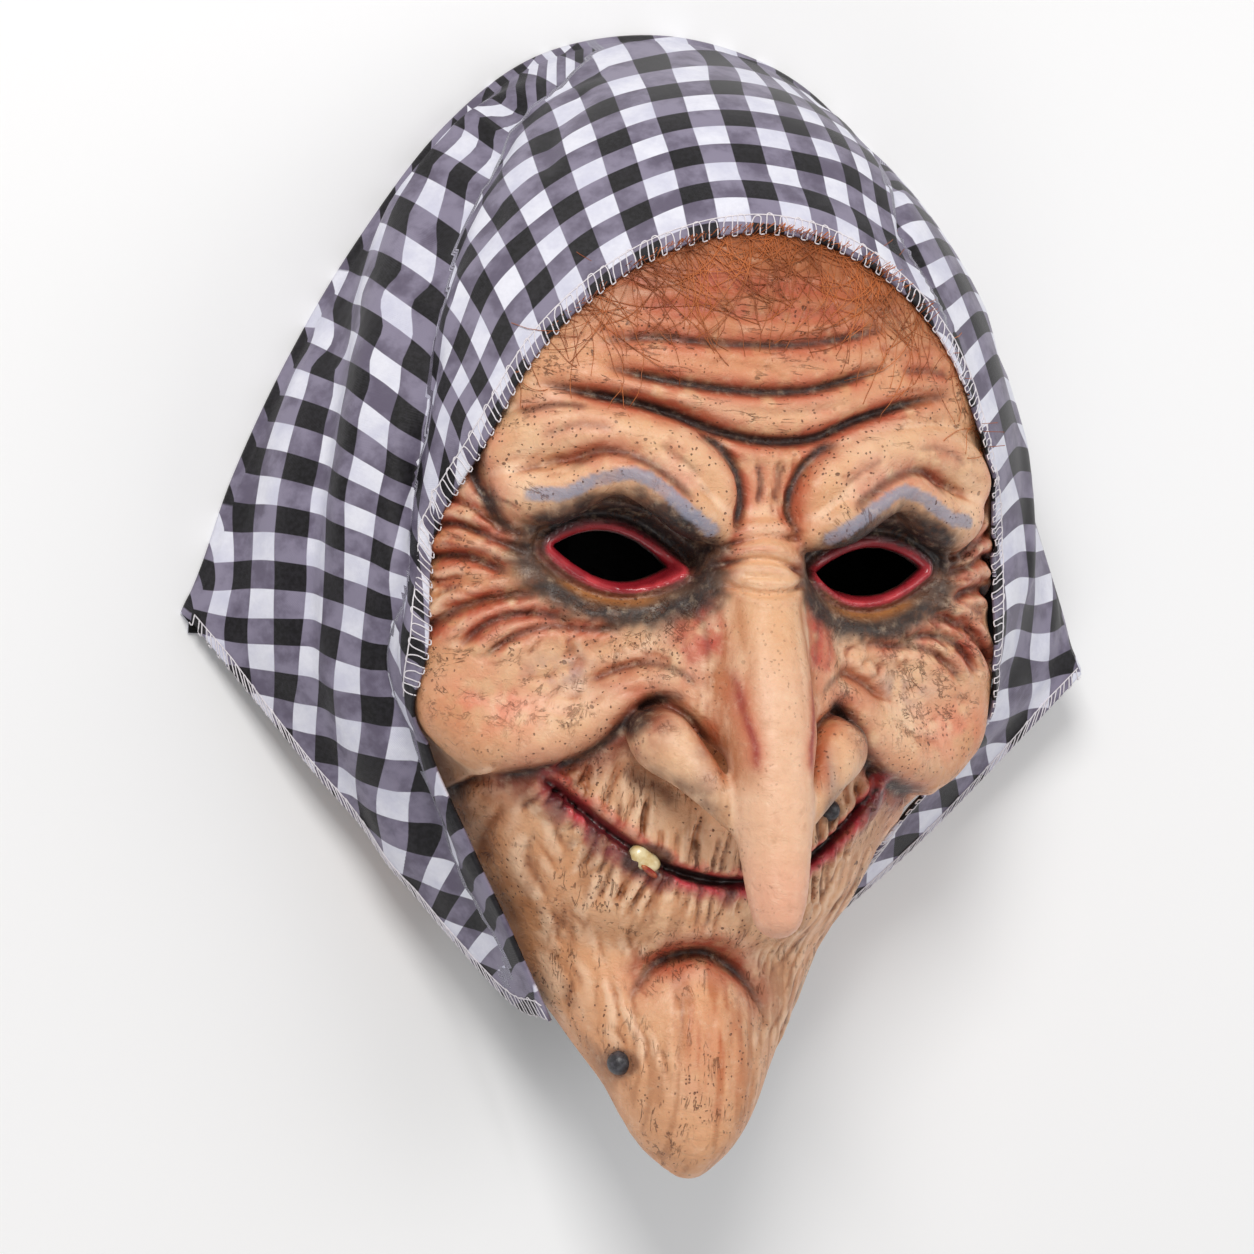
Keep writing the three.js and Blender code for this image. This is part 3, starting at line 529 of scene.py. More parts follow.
def eye_wrinkles(carving, random, fanned=120, puckers=34):
    """Fine folds fanned about the eyes, with a puckered bag under each."""
    for _ in range(fanned):
        side = random.choice(SIDES)
        angle = math.radians(random.uniform(-100, 42))
        r0 = random.uniform(17, 34)
        r1 = r0 + random.uniform(4, 12)
        wave = math.radians(random.normal(0, 5))
        path = [(side * (35 + r * math.cos(a)), 9 + 0.62 * r * math.sin(a))
                for r, a in ((r0, angle), ((r0 + r1) / 2, angle + wave), (r1, angle + wave / 2))]
        scratch(carving, random, path, (0.25, 0.75), (0.55, 0.9), (0.3, 0.9), (0, 0.5), bank=0.45)
    for _ in range(puckers):
        side = random.choice(SIDES)
        x = side * random.uniform(20, 62)
        y = random.uniform(-30, -8)
        length = random.uniform(4, 11)
        path = wavy(random, (x, y), (x + side * length, y - length * random.uniform(-0.1, 0.5)), 0.6)
        scratch(carving, random, path, (0.15, 0.4), (0.6, 1.0), (0.2, 0.6), 0.2)


def brow_wrinkles(carving, random, level=46, upright=40, hairs=44):
    """Fine level lines on the forehead, short upright ones between the brows, and strokes on the brows."""
    for _ in range(level):
        x = random.uniform(-58, 44)
        y = random.uniform(40, 80)
        length = random.uniform(7, 22)
        path = wavy(random, (x, y), (x + length, y + 0.03 * length), 0.7)
        scratch(carving, random, path, (0.15, 0.42), (0.6, 0.9), (0.15, 0.6), (0.1, 0.6))
    for _ in range(upright):
        x = random.uniform(-8, 9)
        y = random.uniform(18, 42)
        path = wavy(random, (x, y), (x, y - random.uniform(3, 8)), 0.4)
        scratch(carving, random, path, 0.35, 0.6, (0.3, 0.8), 0.1)
    for _ in range(hairs):
        side = random.choice(SIDES)
        x = random.uniform(14, 58)
        y = random.uniform(27, 42)
        length = random.uniform(3, 9)
        rise = 0.35 * length * (1 if x < 36 else -1)
        path = wavy(random, (side * x, y), (side * (x + length), y + rise), 0.4)
        scratch(carving, random, path, (0.12, 0.3), 0.6, (0.2, 0.6), 0.2, relief=carving.brow_relief)


def make_carving():
    carving = Carving()
    for crease in FOREHEAD_CREASES + CHIN_LINES:
        carving.crease(*crease)
    for crease in BRIDGE_CREASES:
        carving.crease(*crease, relief=carving.bridge_relief)
    for side in SIDES:
        for crease in SIDE_CREASES:
            carving.crease(*mirrored(crease, side))
        for crease in BROW_CREASES:
            carving.crease(*mirrored(crease, side), relief=carving.brow_relief)
        for crease in BROW_EDGES:
            carving.crease(*mirrored(crease, side), relief=carving.brow_relief, bank=LOW_BANK)
        carving.crease(*mirrored(WING_CREASE, side), relief=carving.bridge_relief, bank=LOW_BANK)
        carving.crease(*mirrored(SMILE, side), bank=LOW_BANK)
        for shade in (WING_SHADE, CHEEK_SHADE):
            carving.shade_line(*mirrored(shade, side))
        carving.measure(carving.eye, almond(side), closed=True)
        carving.measure(carving.stripe, catmull(*mirrored(BLUE_STRIPE, side)))
    carving.shade_line(*CHIN_SHADE)
    carving.crease(*MOUTH_CUT, bank=0.3, fade=0.06)
    carving.crease(*CHIN_CREASE, fade=0.3)
    carving.measure(carving.lip, catmull(MOUTH, 6))
    for scatter in (lip_wrinkles, jaw_wrinkles, eye_wrinkles, brow_wrinkles):
        scatter(carving, np.random.default_rng(WRINKLE_SEED))
    return carving


WRINKLE_SEED = 4
carving = make_carving()

BROW_TOPS, BROW_LOWS, UNDER_EYES, CHEEK_FOLDS = (
    {side: roll_samples(rows, side, True) for side in SIDES}
    for rows in (BROW_TOP, BROW_LOW, UNDER_EYE, CHEEK_FOLD))
NOSE_SIDES, NOSTRILS = ({side: roll_samples(rows, side) for side in SIDES} for rows in (NOSE_SIDE, NOSTRIL))
NOSE_ROLL = roll_samples(NOSE)
UPPER_LIP = [(x, y + 2.9, -2.3, 3.2) for x, y in MOUTH]
LOWER_LIP = [(0.96 * x, y - 3.4, -2.4, 3.8) for x, y in MOUTH]
LIPS = [roll_samples(lip, 1, True) for lip in (UPPER_LIP, LOWER_LIP)]
LID_FOLD = 1.5
LID_CREASE = 1.1
RIM_SLOPE = 0.85
# The folds of the lids are above this height, and the eye holes go through the wall above the other
LIDS_ABOVE = 50
HOLES_ABOVE = 30


def make_hold_chart(reach=5, rounds=2):
    """How far the hollow keeps back behind the creases: the deepest relief nearby, smoothed."""
    chart = Chart(CARVING_STEP)
    deep = np.maximum(carving.relief.value + carving.brow_relief.value + carving.bridge_relief.value, 0)
    for axis in (0, 1):
        widest = deep.copy()
        for shift in range(-reach, reach + 1):
            widest = np.maximum(widest, np.roll(deep, shift, axis))
        deep = widest
    for _ in range(rounds):
        for axis in (0, 1):
            deep = sum(np.roll(deep, shift, axis) for shift in range(-reach, reach + 1)) / (2 * reach + 1)
    chart.value = deep
    return chart


hold_chart = make_hold_chart()


def flesh_distance(p):
    """Distance to the base with its sockets, eyeballs, cheeks, jaws and chin."""
    d = base_distance(p)
    for side in SIDES:
        d = join_body(d, p, SOCKET, side, cut=True)
        d = join_body(d, p, EYEBALL, side)
        d = join_roll(d, p, UNDER_EYES[side], SOFTNESS["under_eye"])
        d = join_body(d, p, CHEEK, side)
        d = join_roll(d, p, CHEEK_FOLDS[side], SOFTNESS["cheek_fold"])
    for body in (UPPER_JAW, LOWER_JAW, CHIN):
        d = join_body(d, p, body)
    return d


def lid_folds(p):
    """Height of the folds about the eye holes, by their distance from the hole's edge."""
    rim = carving.eye.at(p[:, 0], p[:, 1])
    upper = np.clip((p[:, 1] - 11) / 4, 0, 1)
    folds = LID_FOLD * (1 - 0.45 * upper) * bell(rim, 1.7, 1.3) - LID_CREASE * bell(rim, 4.4, 1.1)
    folds += upper * (0.8 * bell(rim, 6.6, 1.0) - 0.9 * bell(rim, 8.8, 1.0))
    return np.where(p[:, 2] > LIDS_ABOVE, folds, 0)


def join_brows(d, p, relief):
    for side in SIDES:
        brow = join_roll(np.full(len(p), FAR), p, BROW_TOPS[side], SOFTNESS["first"])
        brow = join_roll(brow, p, BROW_LOWS[side], SOFTNESS["brow"])
        near = brow < FAR / 2
        d[near] = smooth_min(d[near], brow[near], SOFTNESS["brow_base"])
    return d + relief


def join_nose(d, p, relief):
    nose = join_roll(np.full(len(p), FAR), p, NOSE_ROLL, SOFTNESS["first"])
    for side in SIDES:
        nose = join_roll(nose, p, NOSE_SIDES[side], SOFTNESS["nose_side"])
    near = nose < FAR / 2
    d[near] = smooth_min(d[near], nose[near], SOFTNESS["nose_base"])
    for side in SIDES:
        d = join_roll(d, p, NOSTRILS[side], SOFTNESS["nostril"])
    return d + relief


def face_distances(p):
    """Signed distances to the outside of the face, first carved and then smooth."""
    x, y = p[:, 0], p[:, 1]
    smooth = flesh_distance(p)
    carved = smooth.copy()
    for roll in LIPS:
        carved = join_roll(carved, p, roll, SOFTNESS["lips"])
    carved = carved + carving.relief.at(x, y) - lid_folds(p)
    carved = join_nose(join_brows(carved, p, carving.brow_relief.at(x, y)), p, carving.bridge_relief.at(x, y))
    smooth = join_nose(join_brows(smooth, p, 0), p, 0)
    return carved, smooth


def shell_distance(p):
    """Signed distance to the latex itself: the skin, hollow behind, open at the rim and at the eyes."""
    carved, smooth = face_distances(p)
    x, y, z = p.T
    hollow = smooth + LATEX_WALL + hold_chart.at(x, y)
    d = smooth_max(carved, -hollow, 0.6)
    d = smooth_max(d, (rim_at(y) - z) * RIM_SLOPE, 0.8)
    eyes = np.where(z > HOLES_ABOVE, -carving.eye.at(x, y), -FAR)
    return smooth_max(d, eyes, 0.9)


# Meshing: the distance is read on a coarse grid, then more finely wherever the surface may pass

FACE_LOW = np.array([-88.0, -146.0, -1.0])
FACE_HIGH = np.array([88.0, 128.0, 122.0])
FINE = 0.9
LEVELS = (8, 4, 2, 1)
BAND_MARGIN = 2.2
CUBE_DIAGONAL = 1.74
BATCH = 400000
FACE_TRIANGLES = 188000
# Weight of the hidden side when triangles are left out, in so many steps
HIDDEN_WEIGHT = 0.03
HIDDEN_STEPS = 4
# How often corners are filled, and the small depth in mm that they are given
DIAGONAL_ROUNDS = 12
JOINED = 0.02


def band_grid(distance, low, high, fine):
    """A dense grid of distances, true near the surface and only of the right sign elsewhere."""
    count = (np.ceil((high - low) / fine / LEVELS[0]) * LEVELS[0]).astype(int)
    grid = None
    for level in LEVELS:
        n = count // level
        if grid is None:
            axes = [low[a] + fine * level * np.arange(n[a] + 1) for a in range(3)]
            points = np.stack(np.meshgrid(*axes, indexing="ij"), -1).reshape(-1, 3)
            grid = distance(points).reshape(n + 1).astype(np.float32)
            continue
        reach = fine * level * 2 * CUBE_DIAGONAL + BAND_MARGIN
        near = np.abs(grid) < reach
        finer = np.repeat(np.repeat(np.repeat(grid, 2, 0), 2, 1), 2, 2)[:n[0] + 1, :n[1] + 1, :n[2] + 1]
        mask = np.zeros(n + 1, bool)
        for dx in (-1, 0, 1):
            for dy in (-1, 0, 1):
                for dz in (-1, 0, 1):
                    index = [np.clip((np.arange(m + 1) + o) // 2, 0, m // 2) for m, o in zip(n, (dx, dy, dz))]
                    mask |= near[np.ix_(*index)]
        where = np.argwhere(mask)
        grid = finer.copy()
        for part in np.array_split(where, max(1, len(where) // BATCH)):
            grid[tuple(part.T)] = distance(low + part * (fine * level))
    return grid


def join_diagonals(grid):
    """Fills the corners where the solid would touch itself along an edge alone."""
    for _ in range(DIAGONAL_ROUNDS):
        filled = 0
        for u, v in ((0, 1), (0, 2), (1, 2)):
            corner = {}
            for du in (0, 1):
                for dv in (0, 1):
                    cut = [slice(None)] * 3
                    cut[u] = slice(du, grid.shape[u] - 1 + du)
                    cut[v] = slice(dv, grid.shape[v] - 1 + dv)
                    corner[du, dv] = grid[tuple(cut)]
            a, b, c, d = (corner[k] < 0 for k in ((0, 0), (1, 0), (1, 1), (0, 1)))
            for here, bare in ((a & c & ~b & ~d, (1, 0)), (b & d & ~a & ~c, (0, 0))):
                corner[bare][here] = -JOINED
                filled += int(here.sum())
        if not filled:
            break
    return grid


def surface_net(grid, low, step):
    """Points and quads of the surface where the grid of distances changes sign."""
    inside = grid < 0
    n = np.array(grid.shape) - 1
    corners = [(i, j, k) for i in (0, 1) for j in (0, 1) for k in (0, 1)]
    total = np.zeros(n, np.int8)
    for i, j, k in corners:
        total += inside[i:n[0] + i, j:n[1] + j, k:n[2] + k]
    cells = np.argwhere((total > 0) & (total < 8))
    number = np.full(n, -1, np.int64)
    number[tuple(cells.T)] = np.arange(len(cells))
    value = {c: grid[tuple((cells + c).T)].astype(float) for c in corners}
    spot = np.zeros((len(cells), 3))
    hits = np.zeros(len(cells))
    for a in corners:
        for axis in range(3):
            if a[axis]:
                continue
            b = tuple(1 if q == axis else a[q] for q in range(3))
            va, vb = value[a], value[b]
            cross = (va < 0) != (vb < 0)
            t = np.where(cross, va / np.where(cross, va - vb, 1), 0)
            at = np.array(a, float) + t[:, None] * np.eye(3)[axis]
            spot[cross] += at[cross]
            hits[cross] += 1
    points = low + (cells + spot / hits[:, None]) * step
    quads = []
    for axis in range(3):
        u, v = (axis + 1) % 3, (axis + 2) % 3
        first = [slice(None)] * 3
        second = [slice(None)] * 3
        first[axis] = slice(0, -1)
        second[axis] = slice(1, None)
        a, b = inside[tuple(first)], inside[tuple(second)]
        for leaving in (False, True):
            edge = np.argwhere((a & ~b) if leaving else (b & ~a))
            edge = edge[(edge[:, u] > 0) & (edge[:, v] > 0) & (edge[:, u] < n[u]) & (edge[:, v] < n[v])]
            ring = []
            for du, dv in ((-1, -1), (0, -1), (0, 0), (-1, 0)):
                c = edge.copy()
                c[:, u] += du
                c[:, v] += dv
                ring.append(number[tuple(c.T)])
            ring = np.stack(ring, 1)
            quads.append(ring if leaving else ring[:, ::-1])
    return points, np.vstack(quads)


def gradient(distance, p, e=0.25):
    """Slope of a distance, from four corners of a small tetrahedron."""
    g = np.zeros(p.shape)
    for corner in ((1, 1, 1), (1, -1, -1), (-1, 1, -1), (-1, -1, 1)):
        k = np.array(corner, float)
        g += k * distance(p + e * k)[:, None]
    return g / (4 * e)


def snap(distance, points, rounds=2, furthest=0.5):
    for _ in range(rounds):
        d = distance(points)
        g = gradient(distance, points)
        step = d[:, None] * g / np.maximum((g ** 2).sum(1), 0.2)[:, None]
        length = np.linalg.norm(step, axis=1, keepdims=True)
        points = points - step * np.minimum(1, furthest / np.maximum(length, 1e-9))
    return points


def skin_height(x, y):
    """How high the face's skin lies at a place in the face's plane."""
    z = np.arange(30, 121, 0.25)
    column = np.stack([np.full(z.shape, float(x)), np.full(z.shape, float(y)), z], 1)
    inside = np.flatnonzero(face_distances(column)[0] < 0)
    return float(z[inside[-1]])


def shade_smooth(mesh):
    mesh.polygons.foreach_set("use_smooth", np.ones(len(mesh.polygons), bool))


def mesh_object(name, points, faces):
    """An object from points and faces; the faces are an array of quads, or a list where sizes differ."""
    data = bpy.data.meshes.new(name)
    data.vertices.add(len(points))
    data.vertices.foreach_set("co", np.asarray(points, np.float32).ravel())
    if isinstance(faces, list):
        sizes = np.array([len(face) for face in faces])
        flat = np.concatenate([np.asarray(face) for face in faces])
    else:
        sizes = np.full(len(faces), faces.shape[1])
        flat = faces.ravel()
    data.loops.add(int(sizes.sum()))
    data.loops.foreach_set("vertex_index", flat.astype(np.int32))
    data.polygons.add(len(sizes))
    data.polygons.foreach_set("loop_start", (np.cumsum(sizes) - sizes).astype(np.int32))
    shade_smooth(data)
    data.update(calc_edges=True)
    data.validate()
    thing = bpy.data.objects.new(name, data)
    bpy.context.scene.collection.objects.link(thing)
    return thing


def read_points(mesh):
    flat = np.empty(3 * len(mesh.vertices), np.float32)
    mesh.vertices.foreach_get("co", flat)
    return flat.reshape(-1, 3).astype(float)


def give(mesh, name, values):
    """A named number on every point, for the materials to read."""
    attribute = mesh.attributes.new(name, "FLOAT", "POINT")
    attribute.data.foreach_set("value", np.asarray(values, np.float32))


def hidden_share(p):
    """1 where the face is hidden from the front, 0 where it is seen."""
    x, y, z = p.T
    behind = np.clip((-face_distances(p)[0] - 0.6) / 0.8, 0, 1)
    low = np.clip((wall_chart.at(x, y) + 6) / 5, 0, 1) * np.clip((60 - z) / 15, 0, 1)
    return np.maximum(behind, low)


def reduce_mesh(thing, share, hidden):
    """Leaves this share of the triangles, and fewer where the surface is hidden."""
    group = thing.vertex_groups.new(name="hidden")
    for step in range(HIDDEN_STEPS + 1):
        chosen = np.flatnonzero(np.round(hidden * HIDDEN_STEPS).astype(int) == step)
        group.add([int(i) for i in chosen], step / HIDDEN_STEPS, "REPLACE")
    modifier = thing.modifiers.new("fewer", "DECIMATE")
    modifier.ratio = share
    modifier.vertex_group = group.name
    modifier.vertex_group_factor = HIDDEN_WEIGHT
    graph = bpy.context.evaluated_depsgraph_get()
    data = bpy.data.meshes.new_from_object(thing.evaluated_get(graph))
    thing.modifiers.clear()
    thing.vertex_groups.clear()
    old = thing.data
    thing.data = data
    bpy.data.meshes.remove(old)


def drop_fragments(mesh):
    """Leaves only the largest connected body of the mesh."""
    ends = np.empty(2 * len(mesh.edges), np.int32)
    mesh.edges.foreach_get("vertices", ends)
    a, b = ends.reshape(-1, 2).T
    label = np.arange(len(mesh.vertices))
    while True:
        low = np.minimum(label[a], label[b])
        joined = label.copy()
        np.minimum.at(joined, a, low)
        np.minimum.at(joined, b, low)
        joined = joined[joined]
        if (joined == label).all():
            break
        label = joined
    main = np.bincount(label).argmax()
    body = bmesh.new()
    body.from_mesh(mesh)
    bmesh.ops.delete(body, geom=[v for v in body.verts if label[v.index] != main], context="VERTS")
    body.to_mesh(mesh)
    body.free()


# Paint of the latex, worked out on every point of the skin

def linear(red, green, blue):
    """A colour as seen on a screen, from 0 to 255, in the renderer's linear values."""
    tone = np.array([red, green, blue]) / 255
    return tuple(float(v) for v in np.where(tone <= 0.04045, tone / 12.92, ((tone + 0.055) / 1.055) ** 2.4))


def cloud(p, size, seed, octaves=3):
    """Smooth random values from 0 to 1, with spots of about the given size."""
    total = np.zeros(len(p))
    weight = 0
    for octave in range(octaves):
        lattice = np.random.default_rng(seed * 10 + octave).random((32, 32, 32))
        q = p / np.asarray(size) * 2 ** octave + 7.3 * (octave + 1)
        i = np.floor(q).astype(int)
        f = q - i
        f = f * f * (3 - 2 * f)
        value = np.zeros(len(p))
        for a in (0, 1):
            for b in (0, 1):
                for c in (0, 1):
                    share = np.abs(1 - a - f[:, 0]) * np.abs(1 - b - f[:, 1]) * np.abs(1 - c - f[:, 2])
                    value += share * lattice[(i[:, 0] + a) % 32, (i[:, 1] + b) % 32, (i[:, 2] + c) % 32]
        total += value * 0.5 ** octave
        weight += 0.5 ** octave
    return total / weight


def between(value, low, high):
    """0 at low, 1 at high, smooth between."""
    t = np.clip((value - low) / (high - low), 0, 1)
    return t * t * (3 - 2 * t)


def spot(p, centre, reach):
    x, y = p[:, 0] - centre[0], p[:, 1] - centre[1]
    return np.exp(-(x / reach[0]) ** 2 - (y / reach[1]) ** 2)


class Paint:
    """A colour for every point, over which others are laid."""

    def __init__(self, count, tone):
        self.colour = np.tile(np.array(linear(*tone)), (count, 1))

    def lay(self, tone, share):
        share = np.clip(share, 0, 1)[:, None]
        self.colour += (np.array(linear(*tone)) - self.colour) * share


class Skin:
    """What the paint needs to know about every point."""

    def __init__(self, mesh, p):
        normal = np.empty(3 * len(p), np.float32)
        mesh.vertices.foreach_get("normal", normal)
        normal = normal.reshape(-1, 3).astype(float)
        self.p = p
        self.x, self.y, self.z = p.T
        self.away = np.abs(self.x)
        self.inside = between(-face_distances(p)[0], 0.5, 1.2)
        outside = 1 - self.inside

        def closed_in(reach):
            """How little room there is at this distance out from the skin."""
            return np.clip(1 - face_distances(p + reach * normal)[0] / reach, 0, 1) * outside

        self.cavity = closed_in(1.5)
        self.hollow = closed_in(6)
        crest = np.clip(-face_distances(p - 2.5 * normal)[0] / 2.5, 0, 1)
        self.crest = (1 - crest) * outside
        self.wall = wall_chart.at(self.x, self.y)
        self.patch = cloud(p, 16, 1)
        self.small = cloud(p, 4, 2)
        self.fine = cloud(p, 1.6, 3, 2)
        self.upright = cloud(p, (1.8, 22, 6), 4)
        self.level = cloud(p, (24, 1.8, 6), 5)
        self.shaft = between(1.6 - roll_distance(p, NOSE_ROLL), 0, 1.6) * between(self.z, 84, 92)
        self.face = outside * (1 - self.shaft)
        self.eye = carving.eye.at(self.x, self.y)
        self.front = between(self.z, 50, 60) * self.face
        self.lip = carving.lip.at(self.x, self.y)
        mouth_y = np.interp(self.x, *np.array(MOUTH, float).T)
        self.below_lip = between(mouth_y - self.y, -0.6, 0.6)


def paint_ground(paint, s):
    """The tan ground, lighter where it stands out on the forehead in a painted highlight, and browner towards
    the edges.
    """
    y = s.y
    paint.lay((243, 202, 166), between(s.patch, 0.5, 0.75) * 0.7)
    paint.lay((220, 156, 108), between(s.patch, 0.5, 0.25) * 0.6)
    paint.lay((206, 132, 82), between(s.wall, -22, -3) * 0.5)
    paint.lay((214, 146, 98), between(y, -50, -62) * between(s.away, 10, 36) * 0.3)
    paint.lay((206, 122, 72), between(y, 44, 58) * between(s.patch + 0.3 * s.level, 0.3, 0.8) * 0.62)
    paint.lay((158, 82, 38), between(y, 60, 80) * 0.8)
    # Painted highlight on the crests of the forehead's folds
    paint.lay((250, 212, 178), between(s.crest, 0.06, 0.26) * between(y, 62, 45) * 0.65)
    paint.lay((238, 190, 158), s.shaft * between(y, -2, -20) * 0.7)
    paint.lay((232, 166, 138), s.shaft * between(y, -52, -68) * 0.6)
    for side in SIDES:
        paint.lay((232, 118, 92), spot(s.p, (59 * side, -25), (12, 8)) * between(s.small, 0.2, 0.6) * 0.75)
        paint.lay((238, 196, 154), spot(s.p, (44 * side, 40), (16, 7)) * 0.6)
        paint.lay((236, 192, 150), spot(s.p, (50 * side, -17), (16, 7)) * 0.4)
        paint.lay((150, 128, 132), spot(s.p, (44 * side, -17), (8, 4)) * between(s.small, 0.35, 0.65) * 0.7)
        paint.lay((204, 100, 70), spot(s.p, (13 * side, -3), (4, 12)) * between(s.small, 0.3, 0.6) * 0.6)
        paint.lay((206, 96, 62), spot(s.p, (26 * side, -20.5), (9, 3)) * s.face * 0.6)
        paint.lay((210, 118, 84), spot(s.p, (52 * side, -45), (5, 8)) * 0.35)
        paint.lay((120, 98, 102), spot(s.p, (15.5 * side, -38), (2.6, 7)) * between(s.z, 88, 94) * s.small)


def paint_shade_and_streaks(paint, s):
    """Painted shade in the hollows and in bands under the folds, with brown paint over the jaw and down the
    sides of the nose.
    """
    # Painted shade: darker brown where the skin lies hollow or closed in
    hollow_shade = between(0.5 * s.hollow + 0.4 * s.cavity + 0.4 * (s.small - 0.5), 0.14, 0.46)
    paint.lay((186, 114, 66), hollow_shade * s.face * 0.6)
    paint.lay((112, 64, 38), between(s.cavity + 0.4 * (s.fine - 0.5), 0.24, 0.62) * s.face * 0.8)
    strokes = between(s.upright, 0.54, 0.66) * between(s.y, -30, -55) * s.face
    paint.lay((158, 94, 52), strokes * 0.45)
    drips = bell(s.x, 1.5, 9) * bell(s.y, -103, 15)
    paint.lay((216, 136, 84), drips * 0.5)
    paint.lay((186, 98, 46), drips * between(s.upright, 0.4, 0.58) * 0.9)
    sides = bell(s.away, 11.5, 5.5) * between(s.y, -46, -38) * between(s.y, 12, 0) * between(s.z, 80, 92)
    paint.lay((186, 106, 56), sides * between(cloud(s.p, (2.2, 26, 9), 8), 0.4, 0.6) * 0.75)
    shade = carving.shade.at(s.x, s.y) * s.face
    paint.lay((108, 62, 36), shade * between(s.small, 0.1, 0.7) * 0.8)
    brown = carving.brown.at(s.x, s.y) * s.face
    paint.lay((172, 102, 58), between(brown, 0.12, 0.45) * 0.45)
    paint.lay((96, 54, 31), between(brown + 0.3 * (s.fine - 0.5), 0.36, 0.8) * 0.85)
    cut = np.interp(s.y, [-38, -32, -25, -18.5, -12], [6.9, 7.1, 8.8, 9.6, 10.5])
    cut_ends = between(s.y, -40, -34) * between(s.y, -12, -20) * between(s.z, 90, 95)
    paint.lay((206, 92, 56), bell(s.away, cut, 2.2) * cut_ends * 0.6)
    paint.lay((150, 40, 36), bell(s.away, cut, 0.9) * cut_ends * 0.85)


def paint_creases(paint, s):
    """Red beside the creases, and dark in them."""
    red = carving.red.at(s.x, s.y)
    paint.lay((196, 76, 58), red * s.face * between(s.small + 0.3 * s.fine, 0.3, 0.7) * 0.85)
    dark = carving.dark.at(s.x, s.y) * s.face
    paint.lay((96, 50, 32), between(dark, 0.08, 0.42) * 0.65)
    paint.lay((40, 29, 28), between(dark + 0.25 * (s.fine - 0.5), 0.38, 0.8) * 0.92)


def paint_eyes(paint, s):
    """Smoky rings, dark lids with painted shade under the brows, a tan fold under each eye and red rims."""
    over = between(s.y, 10, 15)
    lower = 1 - over
    ruffled = s.eye + 4.2 * (s.small - 0.5) + 2.0 * (s.fine - 0.5)
    smoke = between(ruffled, 15.5, 5.5) * s.front
    paint.lay((122, 78, 54), smoke * 0.6)
    paint.lay((52, 36, 33), between(ruffled, 12.0, 6.5) * s.front * (0.7 + 0.28 * over))
    # Painted shade over the upper lid, under the overhanging brow
    shade_under_brow = between(ruffled, 9.5, 5.5) * over * s.front
    paint.lay((34, 26, 27), shade_under_brow * 0.85)
    folds = bell(s.eye, 7.2, 0.9) * over * s.front * between(s.small, 0.3, 0.6)
    paint.lay((128, 92, 72), folds * 0.5)
    for side in SIDES:
        corner = spot(s.p, (14.5 * side, 8), (4.5, 6)) + 0.8 * spot(s.p, (54 * side, 8), (5, 5))
        paint.lay((40, 29, 29), corner * s.front * 0.85)
    under = between(ruffled, 13.5, 9.0) * between(s.eye, 5.4, 7.4) * between(s.y, 7, 3) * s.front
    paint.lay((34, 25, 24), under * between(s.small, -0.2, 0.5) * 0.92)
    bag = bell(s.eye, 4.7, 1.1) * between(s.y, 6, 3) * between(np.abs(s.away - 36), 15, 9) * s.front
    paint.lay((186, 122, 66), bag * 0.8)
    paint.lay((120, 40, 34), bell(s.eye, 3.7, 0.6) * s.front * lower * 0.6)
    paint.lay((34, 23, 24), bell(s.eye, 3.2, 0.7) * s.front * over * 0.9)
    reach = 1.9 + 1.3 * lower
    paint.lay((148, 32, 42), between(reach - s.eye, 0, 0.6) * s.front)
    glow = bell(s.eye, 1.8, 0.8) * s.front * between(s.small, 0.2, 0.6) * (0.25 + 0.6 * lower)
    paint.lay((216, 70, 76), glow)
    paint.lay((96, 22, 30), bell(s.eye, 2.5, 0.4) * s.front * over * 0.6)
    paint.lay((50, 14, 18), between(0.5 - s.eye, 0, 0.6) * s.front * 0.9)


def paint_lips(paint, s):
    """Lobed lips, purple below and pink above, with the dark mouth between them."""
    lobes = between(cloud(s.p, (2.6, 40, 40), 6, 1), 0.3, 0.62)
    ragged = s.lip + 2.2 * (lobes - 0.5) + 1.0 * (s.fine - 0.5)
    ends = between(s.away, 48, 42)
    lower = between(6.6 - ragged, 0, 3.4) * s.below_lip * ends * s.face
    upper = between(4.2 - ragged, 0, 2.2) * (1 - s.below_lip) * ends * s.face
    paint.lay((204, 62, 78), lower * (0.45 + 0.5 * lobes))
    paint.lay((98, 26, 48), between(3.4 - ragged, 0, 2.0) * s.below_lip * ends * s.face * 0.75)
    paint.lay((60, 22, 34), lower * (1 - lobes) * 0.55)
    paint.lay((214, 66, 68), upper * (0.4 + 0.55 * lobes))
    paint.lay((120, 34, 40), between(1.9 - s.lip, 0, 0.9) * ends * s.face * 0.8)
    # Near-black along the mouth: dark paint, and painted shade where the slit stands open
    gap = 0.75 + 0.9 * bell(s.x, -7, 9) + 0.4 * bell(s.x, 24, 8)
    paint.lay((34, 16, 14), between(gap - s.lip, 0, 0.5) * ends * s.face * 0.97)


